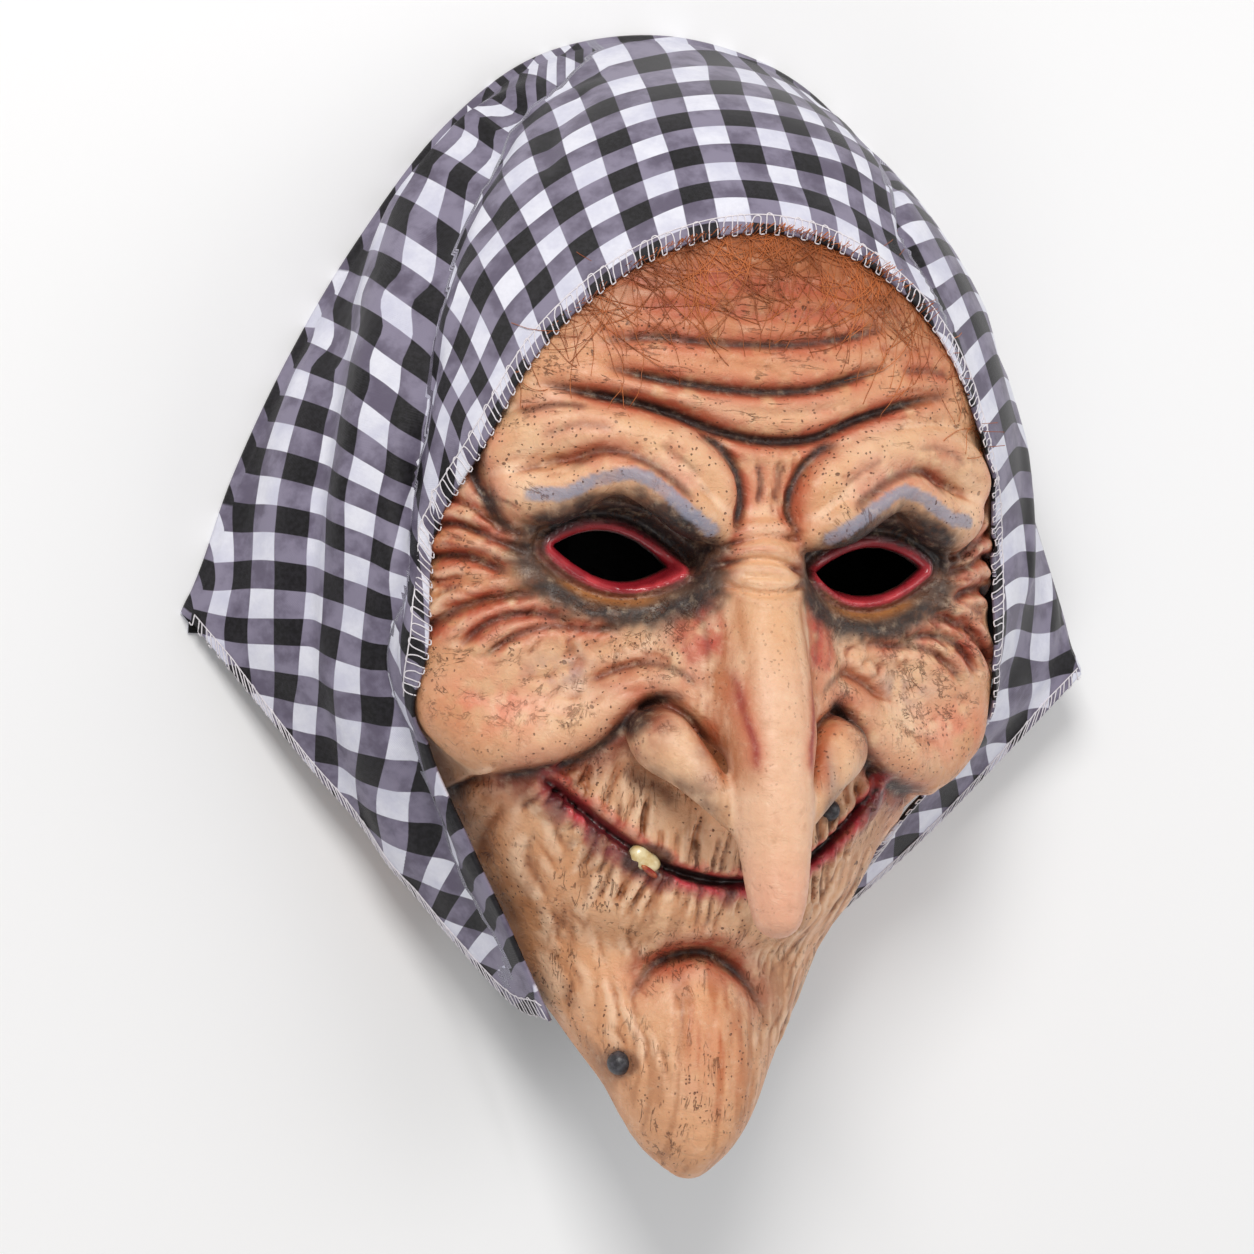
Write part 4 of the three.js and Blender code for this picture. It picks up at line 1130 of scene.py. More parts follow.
def paint_latex(mesh, p):
    s = Skin(mesh, p)
    paint = Paint(len(p), (234, 184, 142))
    paint_ground(paint, s)
    paint_shade_and_streaks(paint, s)
    paint_creases(paint, s)
    paint_eyes(paint, s)
    paint_lips(paint, s)
    stripe = carving.stripe.at(s.x, s.y) + 1.1 * (s.fine - 0.5)
    paint.lay((146, 146, 164), between(2.1 - stripe, 0, 0.9) * between(s.z, 66, 72) * 0.85)
    for mole in MOLES:
        # Painted shade in a brown ring about the mole's foot
        near = np.hypot(s.x - mole["at"][0], s.y - mole["at"][1]) - mole["size"][0]
        paint.lay((104, 62, 40), between(1.1 - near, 0, 1.0) * s.face * 0.7)
    # Painted shadow about the tooth
    near = np.hypot((s.x - TOOTH["at"][0]) / 1.4, s.y - TOOTH["at"][1]) - 3.2
    paint.lay((48, 24, 22), between(1.6 - near, 0, 1.4) * s.face * 0.8)
    # Dark brown on the inside: a latex colour, made darker as painted shade so that the eye holes look black
    paint.lay((46, 32, 25), s.inside)
    mesh.color_attributes.new("paint", "FLOAT_COLOR", "POINT")
    rgba = np.ones((len(p), 4), np.float32)
    rgba[:, :3] = paint.colour
    mesh.color_attributes["paint"].data.foreach_set("color", rgba.ravel())

    wet = between(3.0 - s.eye, 0, 0.6) * s.front
    plain = np.clip(wet + s.inside + between(1.5 - s.lip, 0, 0.8) * s.face, 0, 1)
    outside = 1 - s.inside
    give(mesh, "wet", np.clip(wet + 0.5 * between(5 - s.lip, 0, 2) * s.below_lip * s.face, 0, 1))
    give(mesh, "plain", plain)
    give(mesh, "brow_lines", between(s.y, 36, 46) * outside)
    give(mesh, "mouth_lines", between(s.y, -30, -44) * s.face)
    about_eye = bell(np.hypot((s.away - 34) / 1.25, s.y - 6), 24, 15)
    fan = about_eye * between(s.away, 10, 24) * between(s.y, 34, 22)
    give(mesh, "eye_lines", fan * s.face)
    give(mesh, "eye_turn", np.arctan2(s.y - 8, s.away - 30))
    give(mesh, "eye_reach", np.hypot(s.away - 30, s.y - 8))
    cheeks = between(np.abs(s.y + 10), 26, 12) * between(s.away, 14, 22)
    give(mesh, "cheek_lines", between(s.face, 0.6, 1) * cheeks)
    give(mesh, "nose_lines", s.shaft * outside)


# The latex, and the small parts moulded on it

def skin_heights(spots):
    """Height of the smooth skin over each place of the face's plane."""
    spots = np.asarray(spots, float)
    levels = np.arange(30.0, 116.0, 1.0)
    columns = np.concatenate([np.repeat(spots, len(levels), 0), np.tile(levels, len(spots))[:, None]], 1)
    d = face_distances(columns)[0].reshape(len(spots), -1)
    top = len(levels) - 1 - np.argmax((d < 0)[:, ::-1], axis=1)
    top = np.minimum(top, len(levels) - 2)
    row = np.arange(len(spots))
    low, high = d[row, top], d[row, top + 1]
    return levels[top] + np.clip(low / (low - high - 1e-9), 0, 1)


def pebble(centre, radii, turn=0.0, power=2.0, rings=18, sides=28):
    """Points and quads of a rounded body: a ball at power 2, and squarer above."""
    lat = np.linspace(-np.pi / 2, np.pi / 2, rings + 1)[:, None]
    lon = np.linspace(0, 2 * np.pi, sides, endpoint=False)[None, :]

    def eased(v):
        return np.sign(v) * np.abs(v) ** (2 / power)

    body = np.stack([eased(np.cos(lat)) * eased(np.cos(lon)), eased(np.cos(lat)) * eased(np.sin(lon)),
                     np.broadcast_to(eased(np.sin(lat)), (rings + 1, sides))], -1) * np.array(radii)
    c, s = math.cos(turn), math.sin(turn)
    points = body.reshape(-1, 3) @ np.array([[c, s, 0], [-s, c, 0], [0, 0, 1]]) + np.array(centre)
    number = np.arange((rings + 1) * sides).reshape(rings + 1, sides)
    beside = np.roll(number, -1, axis=1)
    quads = np.stack([number[:-1], beside[:-1], beside[1:], number[1:]], -1).reshape(-1, 4)
    return points, quads


def pebble_mesh(name, bodies):
    points, quads, start = [], [], 0
    for body in bodies:
        p, q = pebble(**body)
        points.append(p)
        quads.append(q + start)
        start += len(p)
    thing = mesh_object(name, place(np.vstack(points)), np.vstack(quads))
    weld = bmesh.new()
    weld.from_mesh(thing.data)
    bmesh.ops.remove_doubles(weld, verts=weld.verts, dist=1e-6)
    weld.to_mesh(thing.data)
    weld.free()
    shade_smooth(thing.data)
    return thing


def on_skin(part):
    x, y = part["at"]
    return (x, y, float(skin_heights([part["at"]])[0]) + part.get("lift", 0))


def moulded(name, parts):
    """Small rounded bodies that stand on the skin, as one mesh."""
    return pebble_mesh(name, [{"centre": on_skin(part), "radii": part["size"],
                               "turn": math.radians(part.get("turn", 0)),
                               "power": part.get("power", 2.0)} for part in parts])


def make_latex():
    grid = join_diagonals(band_grid(shell_distance, FACE_LOW, FACE_HIGH, FINE))
    points, quads = surface_net(grid, FACE_LOW, FINE)
    points = snap(shell_distance, points)
    thing = mesh_object("latex_skin", points, quads)
    reduce_mesh(thing, FACE_TRIANGLES / (2 * len(quads)), hidden_share(points))
    mesh = thing.data
    drop_fragments(mesh)
    points = read_points(mesh)
    mesh.update()
    paint_latex(mesh, points)
    mesh.vertices.foreach_set("co", place(points).astype(np.float32).ravel())
    mesh.update()
    shade_smooth(mesh)
    return thing


# The scarf from the crown down: its front hem on the face, where it leaves the face's edge, and where it
# folds under. A hem without a height lies on the face, and a fold without a height on the floor.
SCARF_SHARED = {
    "hem": [(0, 91.5), (22, 87), (41, 75.5), (56, 58), (66, 37), (73, 14), (74, -12)],
    "shoulder": [(0, 122, 54), (25, 118, 54), (47, 104, 54), (65, 82, 54), (78, 55, 52), (84.5, 23, 49),
                 (85, -6, 45)],
    "edge": [(0, 144.3), (33, 137), (57.5, 117), (79, 86)],
}
# On the wearer's right it lies beside the jaw with its fold on the floor. On the left its end passes under
# the cheek, and its fold stands a little off the floor.
SCARF_ENDS = {
    "hem": ([(-71, -34, 52), (-56, -62, 49), (-33, -103, 46)],
            [(72, -34, 42), (60.5, -57, 26), (47, -83, 13)]),
    "shoulder": ([(-79, -33, 38), (-64, -60, 31), (-45, -92, 24)],
                 [(80, -30, 38), (76, -43, 26), (78, -53.5, 16)]),
    "edge": ([(-95, 56), (-107, 27), (-113.6, 5), (-116.2, -2.5), (-117.8, -6), (-119, -9)],
             [(92.5, 56, 11), (102, 26, 16), (109.5, 5, 18), (112.5, -4, 18.5), (114.3, -7.5, 18.5),
              (116, -10.5, 18.5)]),
}
CLOTH = 0.9
CLOTH_GAP = 0.7
COLUMN_STEPS = 14
FLANK_ROWS = 72
TURN_ROWS = 5
PANEL_ROWS = 14
# The fold at the floor: its radius, how far its points lie inwards as a share of that, and its height
FOLD_RADIUS = 2.4
FOLD_INSET = 0.4
FOLD_HEIGHT = 1.4 * FOLD_RADIUS
REAR_HEM_Y = -13
INNER_SHADE_FROM = FLANK_ROWS + 4

# Folds of the cloth, in the face's plane: path, height (a valley is below zero) and half width
RIGHT_FOLDS = [
    ([(-33, 131), (-50, 121), (-64, 106), (-73, 88), (-80, 71), (-85, 51), (-88, 34), (-90, 16), (-90, -4)],
     4.6, 3.0),
    ([(-60, 117), (-72, 100), (-80, 82), (-87, 62), (-92, 42), (-95, 20), (-96, -2), (-93, -20)], -1.8, 2.0),
    ([(-66, 117), (-78, 98), (-86, 80), (-93, 60), (-98, 38), (-101, 15), (-100, -10)], 1.5, 3.4),
    ([(-78, 26), (-78, 6), (-77, -10), (-73, -27), (-68, -41), (-61, -54), (-54, -68), (-47, -82)], 2.6, 4.0),
    ([(-72, 66), (-77, 50), (-80, 34), (-81, 18), (-80, 2)], -1.7, 1.5),
    ([(-66, 84), (-74, 66), (-79, 48), (-82, 30)], 1.6, 2.0),
    ([(-58, 96), (-66, 82), (-72, 66)], -1.2, 1.8),
    ([(-92, -8), (-86, -28), (-78, -44), (-70, -58), (-60, -72)], 1.8, 3.2),
    ([(-99, 8), (-94, -16), (-87, -34), (-78, -52), (-66, -70)], -1.4, 2.4),
    ([(-30, 128), (-42, 116), (-50, 102)], -1.2, 1.6),
    ([(-22, 134), (-36, 128), (-52, 118)], -1.3, 1.5),
    ([(-104, 40), (-108, 16), (-109, -4)], -1.1, 3.5),
]
LEFT_FOLDS = [
    ([(40, 128), (52, 116), (62, 101), (72, 84), (80, 66), (86, 46)], -2.0, 2.4),
    ([(34, 130), (47, 119), (57, 104), (67, 86), (75, 68)], 1.6, 3.0),
    ([(76, 74), (82, 56), (86, 38), (88, 20), (88, 4)], 2.2, 2.4),
    ([(98, 50), (103, 26), (104, 4), (98, -14)], 1.4, 4.0),
    ([(92, -2), (84, -22), (74, -40), (62, -56)], -1.2, 3.5),
]
# One repeat of the check, in mm, and how freely and at what scale its places are fitted to the photograph
CHECK_PITCH = 13.6
THREAD_SLACK = 0.0004
MAP_SCALE = 100
# Only cloth that faces the camera by at least this much is matched with the photograph
FACING = 0.08
# Rows of dark squares of the check, as the photograph shows them, in its pixels: the row's count along the
# threads, the first one's count across them, and the places. The cloth is pleated on both sides of the crown,
# and the count starts again beyond each pleat.
CROWN_SQUARES = [
    (0, 1, [(759, 194), (748, 155), (738, 120), (726, 89), (716, 60)]),
    (-1, 0, [(705, 237), (696, 197), (686, 158), (674, 124), (665, 94), (652, 66)]),
    (-2, 1, [(638, 217), (625, 179), (614, 144), (602, 111), (589, 82)]),
    (-3, 1, [(584, 247), (568, 209), (555, 173), (545, 141), (536, 112)]),
    (-4, 1, [(541, 289), (521, 246), (505, 215), (488, 183)]),
    (-5, 1, [(502, 335), (481, 292), (463, 260)]), (-6, 1, [(480, 381), (462, 344), (441, 317)]),
    (-7, 1, [(458, 415), (444, 388)]), (-8, 2, [(429, 430)]), (-9, 2, [(415, 483)]), (-10, 2, [(411, 542)]),
    (-11, 2, [(415, 597)]), (-12, 2, [(417, 645)]), (-13, 2, [(424, 699)]), (-14, 2, [(431, 757)]),
    (-15, 2, [(436, 813)]), (-15, 1, [(472, 809)]), (-16, 1, [(485, 858)]), (-17, 1, [(495, 908)]),
    (-18, 1, [(509, 953)]), (1, 1, [(816, 205), (807, 164), (794, 128), (782, 98)]),
    (2, 1, [(861, 225), (852, 178), (837, 140)]), (3, 1, [(891, 244), (880, 199)]),
]
RIGHT_SQUARES = [
    (0, -2, [(505, 88), (467, 124), (437, 170), (412, 223), (400, 280), (385, 335), (372, 387),
             (358, 437), (348, 485), (343, 535), (336, 588), (331, 640), (327, 697), (326, 752)]),
    (-1, -2, [(480, 84), (447, 113), (407, 160), (383, 208), (362, 262), (342, 313), (323, 365),
              (312, 417), (303, 470), (295, 523), (291, 577), (288, 632), (287, 686)]),
    (-2, 4, [(288, 350), (267, 407), (253, 460), (243, 517), (240, 574), (236, 631)]),
    (-3, 8, [(203, 577), (199, 621)]), (1, 1, [(440, 242), (422, 300), (413, 360), (404, 417), (396, 472)]),
    (1, 9, [(372, 659), (376, 709), (374, 766), (370, 816)]), (2, 11, [(419, 788), (424, 841)]),
]
LEFT_SQUARES = [
    (0, 0, [(1016, 460), (1024, 511), (1026, 564), (1027, 619), (1022, 670), (1015, 727)]),
    (1, 3, [(1056, 612), (1056, 666)]), (-1, 3, [(988, 630), (986, 683), (977, 740)]),
    (-2, 6, [(949, 793)]), (-3, 6, [(908, 805), (905, 843)]), (-4, 8, [(852, 899)]),
]
# The two pleats, in the photograph's pixels, and the height and half width of the fold along each
RIGHT_PLEAT = [(600, 50), (565, 75), (527, 103), (500, 132), (484, 160), (463, 195), (446, 235), (437, 280),
               (428, 320), (422, 360), (416, 410), (412, 460), (410, 520), (408, 565), (398, 605), (388, 640),
               (386, 665), (394, 699), (404, 738), (419, 791), (440, 841), (461, 881), (486, 927), (508, 956)]
LEFT_PLEAT = [(855, 105), (880, 165), (905, 240), (932, 300), (952, 350), (968, 392), (980, 430), (991, 480),
              (994, 560), (985, 610), (900, 640), (700, 700)]
# The left one shows down to its ninth point, and the rest of it only bounds the squares beyond it
PLEATS = ((RIGHT_PLEAT, -5.2, 2.0), (LEFT_PLEAT[:9], -2.4, 1.8))
# Corners of the chart of folds
SCARF_LOW, SCARF_HIGH = (-130, -115), (130, 150)


def scarf_curve(name, height=None):
    """A curve across the scarf, from its end on the wearer's right over the crown to its end on the left."""
    shared = SCARF_SHARED[name]
    right_end, left_end = SCARF_ENDS[name]
    stations = right_end[::-1] + [(-x, *rest) for x, *rest in shared[:0:-1]] + shared + left_end
    points = []
    for x, y, *z in stations:
        level = z[0] if z else height
        if level is None:
            level = skin_height(x, y) + CLOTH_GAP + CLOTH
        points.append((x, y, level))
    return catmull(points, COLUMN_STEPS)


def even_rows(columns, count):
    """Each column's points set again at even distances along it."""
    out = np.empty((len(columns), count + 1, 3))
    for i, column in enumerate(columns):
        run = run_along(column)
        at = np.linspace(0, run[-1], count + 1)
        for axis in range(3):
            out[i, :, axis] = np.interp(at, run, column[:, axis])
    return out


def grid_normals(sheet):
    normal = np.cross(np.gradient(sheet, axis=0), np.gradient(sheet, axis=1))
    return normal / np.maximum(np.linalg.norm(normal, axis=2, keepdims=True), 1e-9)


def fold_chart(flank):
    """Heights of all folds over the face's plane, the two pleats among them."""
    chart = Chart(BASE_STEP, SCARF_LOW, SCARF_HIGH)
    points = flank.reshape(-1, 3)
    seen = photo_pixels(points)
    pleats = [(on_cloth(points, seen, path)[:, :2], *size) for path, *size in PLEATS]
    for path, height, width in RIGHT_FOLDS + LEFT_FOLDS + pleats:
        curve = catmull(path, 8)
        where, xs, ys = chart.window(curve.min(0) - 4 * width, curve.max(0) + 4 * width)
        r, t = line_distance(xs, ys, curve)
        chart.value[where] += height * fading(t, 0.15) * bell(r, 0, width)
    return chart


def clear_of_face(points, least, rounds=4, shade_under_brow=4):
    """Moves points above the floor out until the cloth clears the face."""
    for _ in range(rounds):
        near = points[:, 2] > shade_under_brow
        d = np.full(len(points), FAR)
        d[near] = face_distances(points[near])[0]
        low = d < least
        if not low.any():
            break
        slope = gradient(lambda q: face_distances(q)[0], points[low], 0.6)
        slope /= np.maximum(np.linalg.norm(slope, axis=1, keepdims=True), 0.3)
        points[low] += slope * (least - d[low])[:, None]
    return points


def unrolled(flank):
    """Each column of the cloth laid flat, at its true length, in the direction in which it runs."""
    start, end = flank[:, 0, :2], flank[:, -1, :2]
    way = (end - start) / np.linalg.norm(end - start, axis=1, keepdims=True)
    down = np.array([run_along(column) for column in flank])
    return start[:, None] + way[:, None] * down[..., None]


def on_cloth(values, seen, pixels):
    """The values of the cloth at places given in the photograph's pixels."""
    out = []
    for pixel in pixels:
        away = np.linalg.norm(seen - pixel, axis=1)
        near = np.argsort(away)[:6]
        weight = 1 / (away[near] ** 2 + 0.5)
        out.append((values[near] * weight[:, None]).sum(0) / weight.sum())
    return np.array(out)


def smooth_map(places, values, points):
    """Smooth values at the points, from known values at the places: a bent thin plate, a little slack."""
    def kernel(a, b):
        r = np.linalg.norm(a[:, None] - b[None], axis=2)
        return r ** 2 * np.log(r + 1e-9)

    def plane(q):
        return np.concatenate([np.ones((len(q), 1)), q], 1)

    places, points = places / MAP_SCALE, points / MAP_SCALE
    size = len(places)
    system = np.zeros((size + 3, size + 3))
    system[:size, :size] = kernel(places, places) + THREAD_SLACK * np.eye(size)
    system[:size, size:] = plane(places)
    system[size:, :size] = plane(places).T
    known = np.vstack([values, np.zeros((3, values.shape[1]))])
    weights = np.linalg.solve(system, known)
    return kernel(points, places) @ weights[:size] + plane(points) @ weights[size:]


def beside_pleat(pixels, pleat):
    """How far each pixel lies to the right of a pleat."""
    return pixels[:, 0] - np.interp(pixels[:, 1], *np.array(pleat, float).T[::-1])


def scarf_threads(flank):
    """Where each point lies in the woven check, counted in repeats along and across the threads."""
    pixels = photo_pixels(flank.reshape(-1, 3))
    facing = (grid_normals(flank).reshape(-1, 3) @ camera_axes()[2]) > FACING
    plan = flank[..., :2].reshape(-1, 2)
    flat = unrolled(flank).reshape(-1, 2)
    beyond_right = beside_pleat(pixels, RIGHT_PLEAT) < 0
    beyond_left = beside_pleat(pixels, LEFT_PLEAT) > 0
    counts = np.zeros((len(pixels), 2))
    for squares, chart, part in ((CROWN_SQUARES, flat, ~beyond_right & ~beyond_left),
                                 (RIGHT_SQUARES, plan, beyond_right), (LEFT_SQUARES, flat, beyond_left)):
        known = [(along, first + k) for along, first, row in squares for k in range(len(row))]
        shown = [pixel for _, _, row in squares for pixel in row]
        places = on_cloth(chart[facing], pixels[facing], np.array(shown, float))
        counts[part] = smooth_map(places, np.array(known, float), chart[part])
    return np.moveaxis(counts.reshape(*flank.shape[:2], 2), 2, 0)


def thickened(sheet):
    """Points, in the frame's metres, and quads of the closed cloth about a grid of points."""
    normal = grid_normals(sheet)
    columns, rows = sheet.shape[:2]
    points = np.concatenate([(sheet + side * normal * CLOTH / 2).reshape(-1, 3) for side in SIDES])
    shift = columns * rows
    number = np.arange(shift).reshape(columns, rows)
    back = number + shift
    ring = np.concatenate([number[:-1, 0], number[-1, :-1], number[:0:-1, -1], number[0, :0:-1]])
    other = np.roll(ring, -1)
    quads = [np.stack(corners, -1).reshape(-1, 4) for corners in (
        (number[:-1, :-1], number[:-1, 1:], number[1:, 1:], number[1:, :-1]),
        (back[:-1, :-1], back[1:, :-1], back[1:, 1:], back[:-1, 1:]),
        (ring, other, other + shift, ring + shift))]
    return place(points), np.vstack(quads)


def turn_under(edge, out):
    """The turn at the fold and the back panel, as columns of points from the fold to the rear hem."""
    rows = []
    for k in range(1, TURN_ROWS + 1):
        angle = math.pi * k / TURN_ROWS * 0.9
        reach = FOLD_RADIUS * (FOLD_INSET * math.sin(angle) - FOLD_INSET * math.cos(angle))
        row = edge + (reach - FOLD_INSET / 2 * FOLD_RADIUS) * out
        row[:, 2] = edge[:, 2] + FOLD_HEIGHT * (0.5 + 0.5 * math.cos(angle)) * (1 - k / TURN_ROWS)
        rows.append(row)
    landing = edge - 2 * FOLD_INSET * FOLD_RADIUS * out
    for k in range(PANEL_ROWS + 1):
        row = landing.copy()
        row[:, 1] += (REAR_HEM_Y - landing[:, 1]) * k / PANEL_ROWS
        row[:, 2] += (CLOTH / 2 - landing[:, 2]) * k / PANEL_ROWS
        rows.append(row)
    return np.stack(rows, 1)


def make_scarf():
    """The cloth, and the grid of points through its middle: a column for each step along the hem."""
    hem, shoulder = scarf_curve("hem"), scarf_curve("shoulder")
    edge = scarf_curve("edge", CLOTH / 2)
    out = edge - shoulder
    out[:, 2] = 0
    out /= np.linalg.norm(out, axis=1, keepdims=True)
    edge[:, 2] = np.maximum(edge[:, 2], CLOTH / 2)
    top = edge - FOLD_INSET * FOLD_RADIUS * out
    top[:, 2] = edge[:, 2] + FOLD_HEIGHT
    flank = even_rows([catmull([a, b, c], 40) for a, b, c in zip(hem, shoulder, top)], FLANK_ROWS)
    warp, weft = scarf_threads(flank)
    folds = fold_chart(flank).at(flank[..., 0], flank[..., 1])
    rows = np.arange(FLANK_ROWS + 1)
    hold = np.clip(rows / 4, 0.15, 1) * np.clip((FLANK_ROWS - rows) / 5, 0, 1)
    flank = flank + grid_normals(flank) * (folds * hold)[..., None]
    flank = clear_of_face(flank.reshape(-1, 3), CLOTH / 2 + CLOTH_GAP).reshape(flank.shape)
    flank[..., 2] = np.maximum(flank[..., 2], CLOTH / 2)
    under = turn_under(edge, out)
    sheet = np.concatenate([flank, under], 1)
    thing = mesh_object("scarf_cloth", *thickened(sheet))

    # The check runs on under the fold at its own pitch, and the inside of the cloth is painted near-black
    # from the fold on, as painted shade
    run = np.cumsum(np.linalg.norm(np.diff(np.concatenate([flank[:, -1:], under], 1), axis=1), axis=2), 1)
    warp = np.concatenate([warp, np.broadcast_to(warp[:, -1:], under.shape[:2])], 1)
    weft = np.concatenate([weft, weft[:, -1:] + run / CHECK_PITCH], 1)
    inner_shade = np.zeros((2, *sheet.shape[:2]))
    inner_shade[0, :, INNER_SHADE_FROM:] = 1
    for name, values in (("warp", np.tile(warp.ravel(), 2)), ("weft", np.tile(weft.ravel(), 2)),
                         ("inner_shade", inner_shade.ravel())):
        give(thing.data, name, values)
    return thing, sheet


def tube_mesh(name, paths, radius, sides=5):
    """Round threads along the paths, each closed at its ends."""
    points, faces = [], []
    start = 0
    for path in paths:
        path = np.asarray(path, float)
        along = np.gradient(path, axis=0)
        along /= np.maximum(np.linalg.norm(along, axis=1, keepdims=True), 1e-9)
        aside = np.cross(along, [0.31, 0.17, 0.94])
        aside /= np.maximum(np.linalg.norm(aside, axis=1, keepdims=True), 1e-9)
        over = np.cross(along, aside)
        turn = 2 * np.pi * np.arange(sides) / sides
        ring = (path[:, None] + radius * (np.cos(turn)[None, :, None] * aside[:, None]
                                          + np.sin(turn)[None, :, None] * over[:, None]))
        points.append(ring.reshape(-1, 3))
        count = len(path)
        number = start + np.arange(count * sides).reshape(count, sides)
        beside = np.roll(number, -1, axis=1)
        quads = np.stack([number[:-1], beside[:-1], beside[1:], number[1:]], -1).reshape(-1, 4)
        faces += [list(q) for q in quads] + [list(number[0][::-1]), list(number[-1])]
        start += count * sides
    return mesh_object(name, place(np.vstack(points)), faces)


# Overlock stitching: loops of white thread over the hem
STITCH_PITCH = 3.6
STITCH_REACH = 4.6
# Step from one point of the straight seam to the next
SEAM_STEP = 1.2
# Length of the front hem that is tucked in beside the jaw, from its end on the wearer's right
HEM_TUCKED = 90
THREAD_RADIUS = 0.17
STITCH_SEED = 7


def line_on_sheet(lines, places, lift):
    """Points at (distance along, distance in) on a strip of the sheet; lines run in from its edge."""
    edge = run_along(lines[:, 0])
    depth = np.array([run_along(line) for line in lines])
    out = []
    for along, across in places:
        i = float(np.interp(along, edge, np.arange(len(edge))))
        low = min(int(i), len(lines) - 2)
        share = i - low
        both = []
        for k in (low, low + 1):
            both.append([np.interp(max(across, 0), depth[k], lines[k, :, axis]) for axis in range(3)])
        a, b = np.array(both)
        point = a + (b - a) * share
        inner = lines[low, 2] - lines[low, 0]
        side = lines[low + 1, 0] - lines[low, 0]
        normal = np.cross(side, inner)
        normal /= max(np.linalg.norm(normal), 1e-9)
        if across < 0:
            point = point + inner / np.linalg.norm(inner) * across
        out.append(point + normal * (lift if across >= 0 else 0))
    return np.array(out)


def stitches(lines, flip, random, start=0):
    """Loops over one hem, and the straight seam that holds them."""
    length = run_along(lines[:, 0])[-1]
    lift = (CLOTH / 2 + THREAD_RADIUS * 0.8) * (-1 if flip else 1)
    loops = []
    count = int(length / STITCH_PITCH)
    for k in range(count):
        at = (k + 0.1 + random.uniform(-0.06, 0.06)) * length / count
        reach = STITCH_REACH * random.uniform(0.88, 1.08)
        lean = STITCH_PITCH * random.uniform(0.25, 0.5)
        places = [(at, -0.5), (at + 0.15 * STITCH_PITCH, 0.6 * reach), (at + lean, reach),
                  (at + lean + 0.35 * STITCH_PITCH, 0.95 * reach), (at + 0.72 * STITCH_PITCH, 0.45 * reach),
                  (at + 0.62 * STITCH_PITCH, -0.5), (at + 0.95 * STITCH_PITCH, -0.6)]
        places = [(min(max(a, 0), length), b) for a, b in catmull(places, 3)]
        if at >= start:
            loops.append(line_on_sheet(lines, places, lift))
    seam = [(a, STITCH_REACH * 0.98) for a in np.arange(start, length, SEAM_STEP)]
    return loops + [line_on_sheet(lines, seam, lift)]


def make_stitching(sheet):
    """Thread over the front hem, then over the two ends of the cloth beside the jaw."""
    random = np.random.default_rng(STITCH_SEED)
    paths = stitches(sheet[:, :12], False, random, HEM_TUCKED)
    for columns, flip in ((sheet[:9], True), (sheet[:-10:-1], False)):
        paths += stitches(np.transpose(columns[:, :FLANK_ROWS + 1], (1, 0, 2)), flip, random)
    return tube_mesh("hem_thread", paths, THREAD_RADIUS)


# Ginger hairs that come out from under the cloth and lie over the forehead
HAIR_COUNT = 300
HAIR_RADIUS = 0.1
HAIR_STEPS = 12
HAIR_SEED = 11
# They start from the hem between these two sides and above this level, and grow longer at the crown
HAIR_SIDE = 66
HAIR_LEVEL = 20
CROWN_LEVEL = 70


def make_hair():
    random = np.random.default_rng(HAIR_SEED)
    hem = scarf_curve("hem")
    hem = hem[np.abs(hem[:, 0]) < HAIR_SIDE]
    hem = hem[hem[:, 1] > HAIR_LEVEL]
    paths = []
    for i in range(HAIR_COUNT):
        x, y = hem[int(random.triangular(0, 0.5, 1) * (len(hem) - 1)), :2]
        heading = math.atan2(58 - y, -0.35 * x) + random.normal(0, 0.75)
        if i % 3 == 0:
            heading = math.atan2(-1, 0.2) + random.normal(0, 0.6)
        curl = random.normal(0, 0.10)
        length = random.uniform(7, 34) * (0.5 + 0.5 * (y > CROWN_LEVEL))
        spots = [(x - 2 * math.cos(heading), y - 2 * math.sin(heading))]
        for _ in range(HAIR_STEPS):
            x, y = spots[-1]
            spots.append((x + math.cos(heading) * length / HAIR_STEPS,
                          y + math.sin(heading) * length / HAIR_STEPS))
            heading += curl + random.normal(0, 0.07)
        paths.append(spots)
    flat = np.array(paths)
    heights = skin_heights(flat.reshape(-1, 2)).reshape(flat.shape[:2])
    heights = np.maximum(heights, np.roll(heights, 1, 1) - 0.4)
    along = np.linspace(0, 1, flat.shape[1])[None, :]
    bow = random.uniform(0, 1.1, (len(flat), 1)) * np.sin(np.pi * along) + 0.15
    solid_paths = np.concatenate([flat, (heights + bow)[..., None]], 2)
    return tube_mesh("loose_hair", list(solid_paths), HAIR_RADIUS, 4)


# Materials

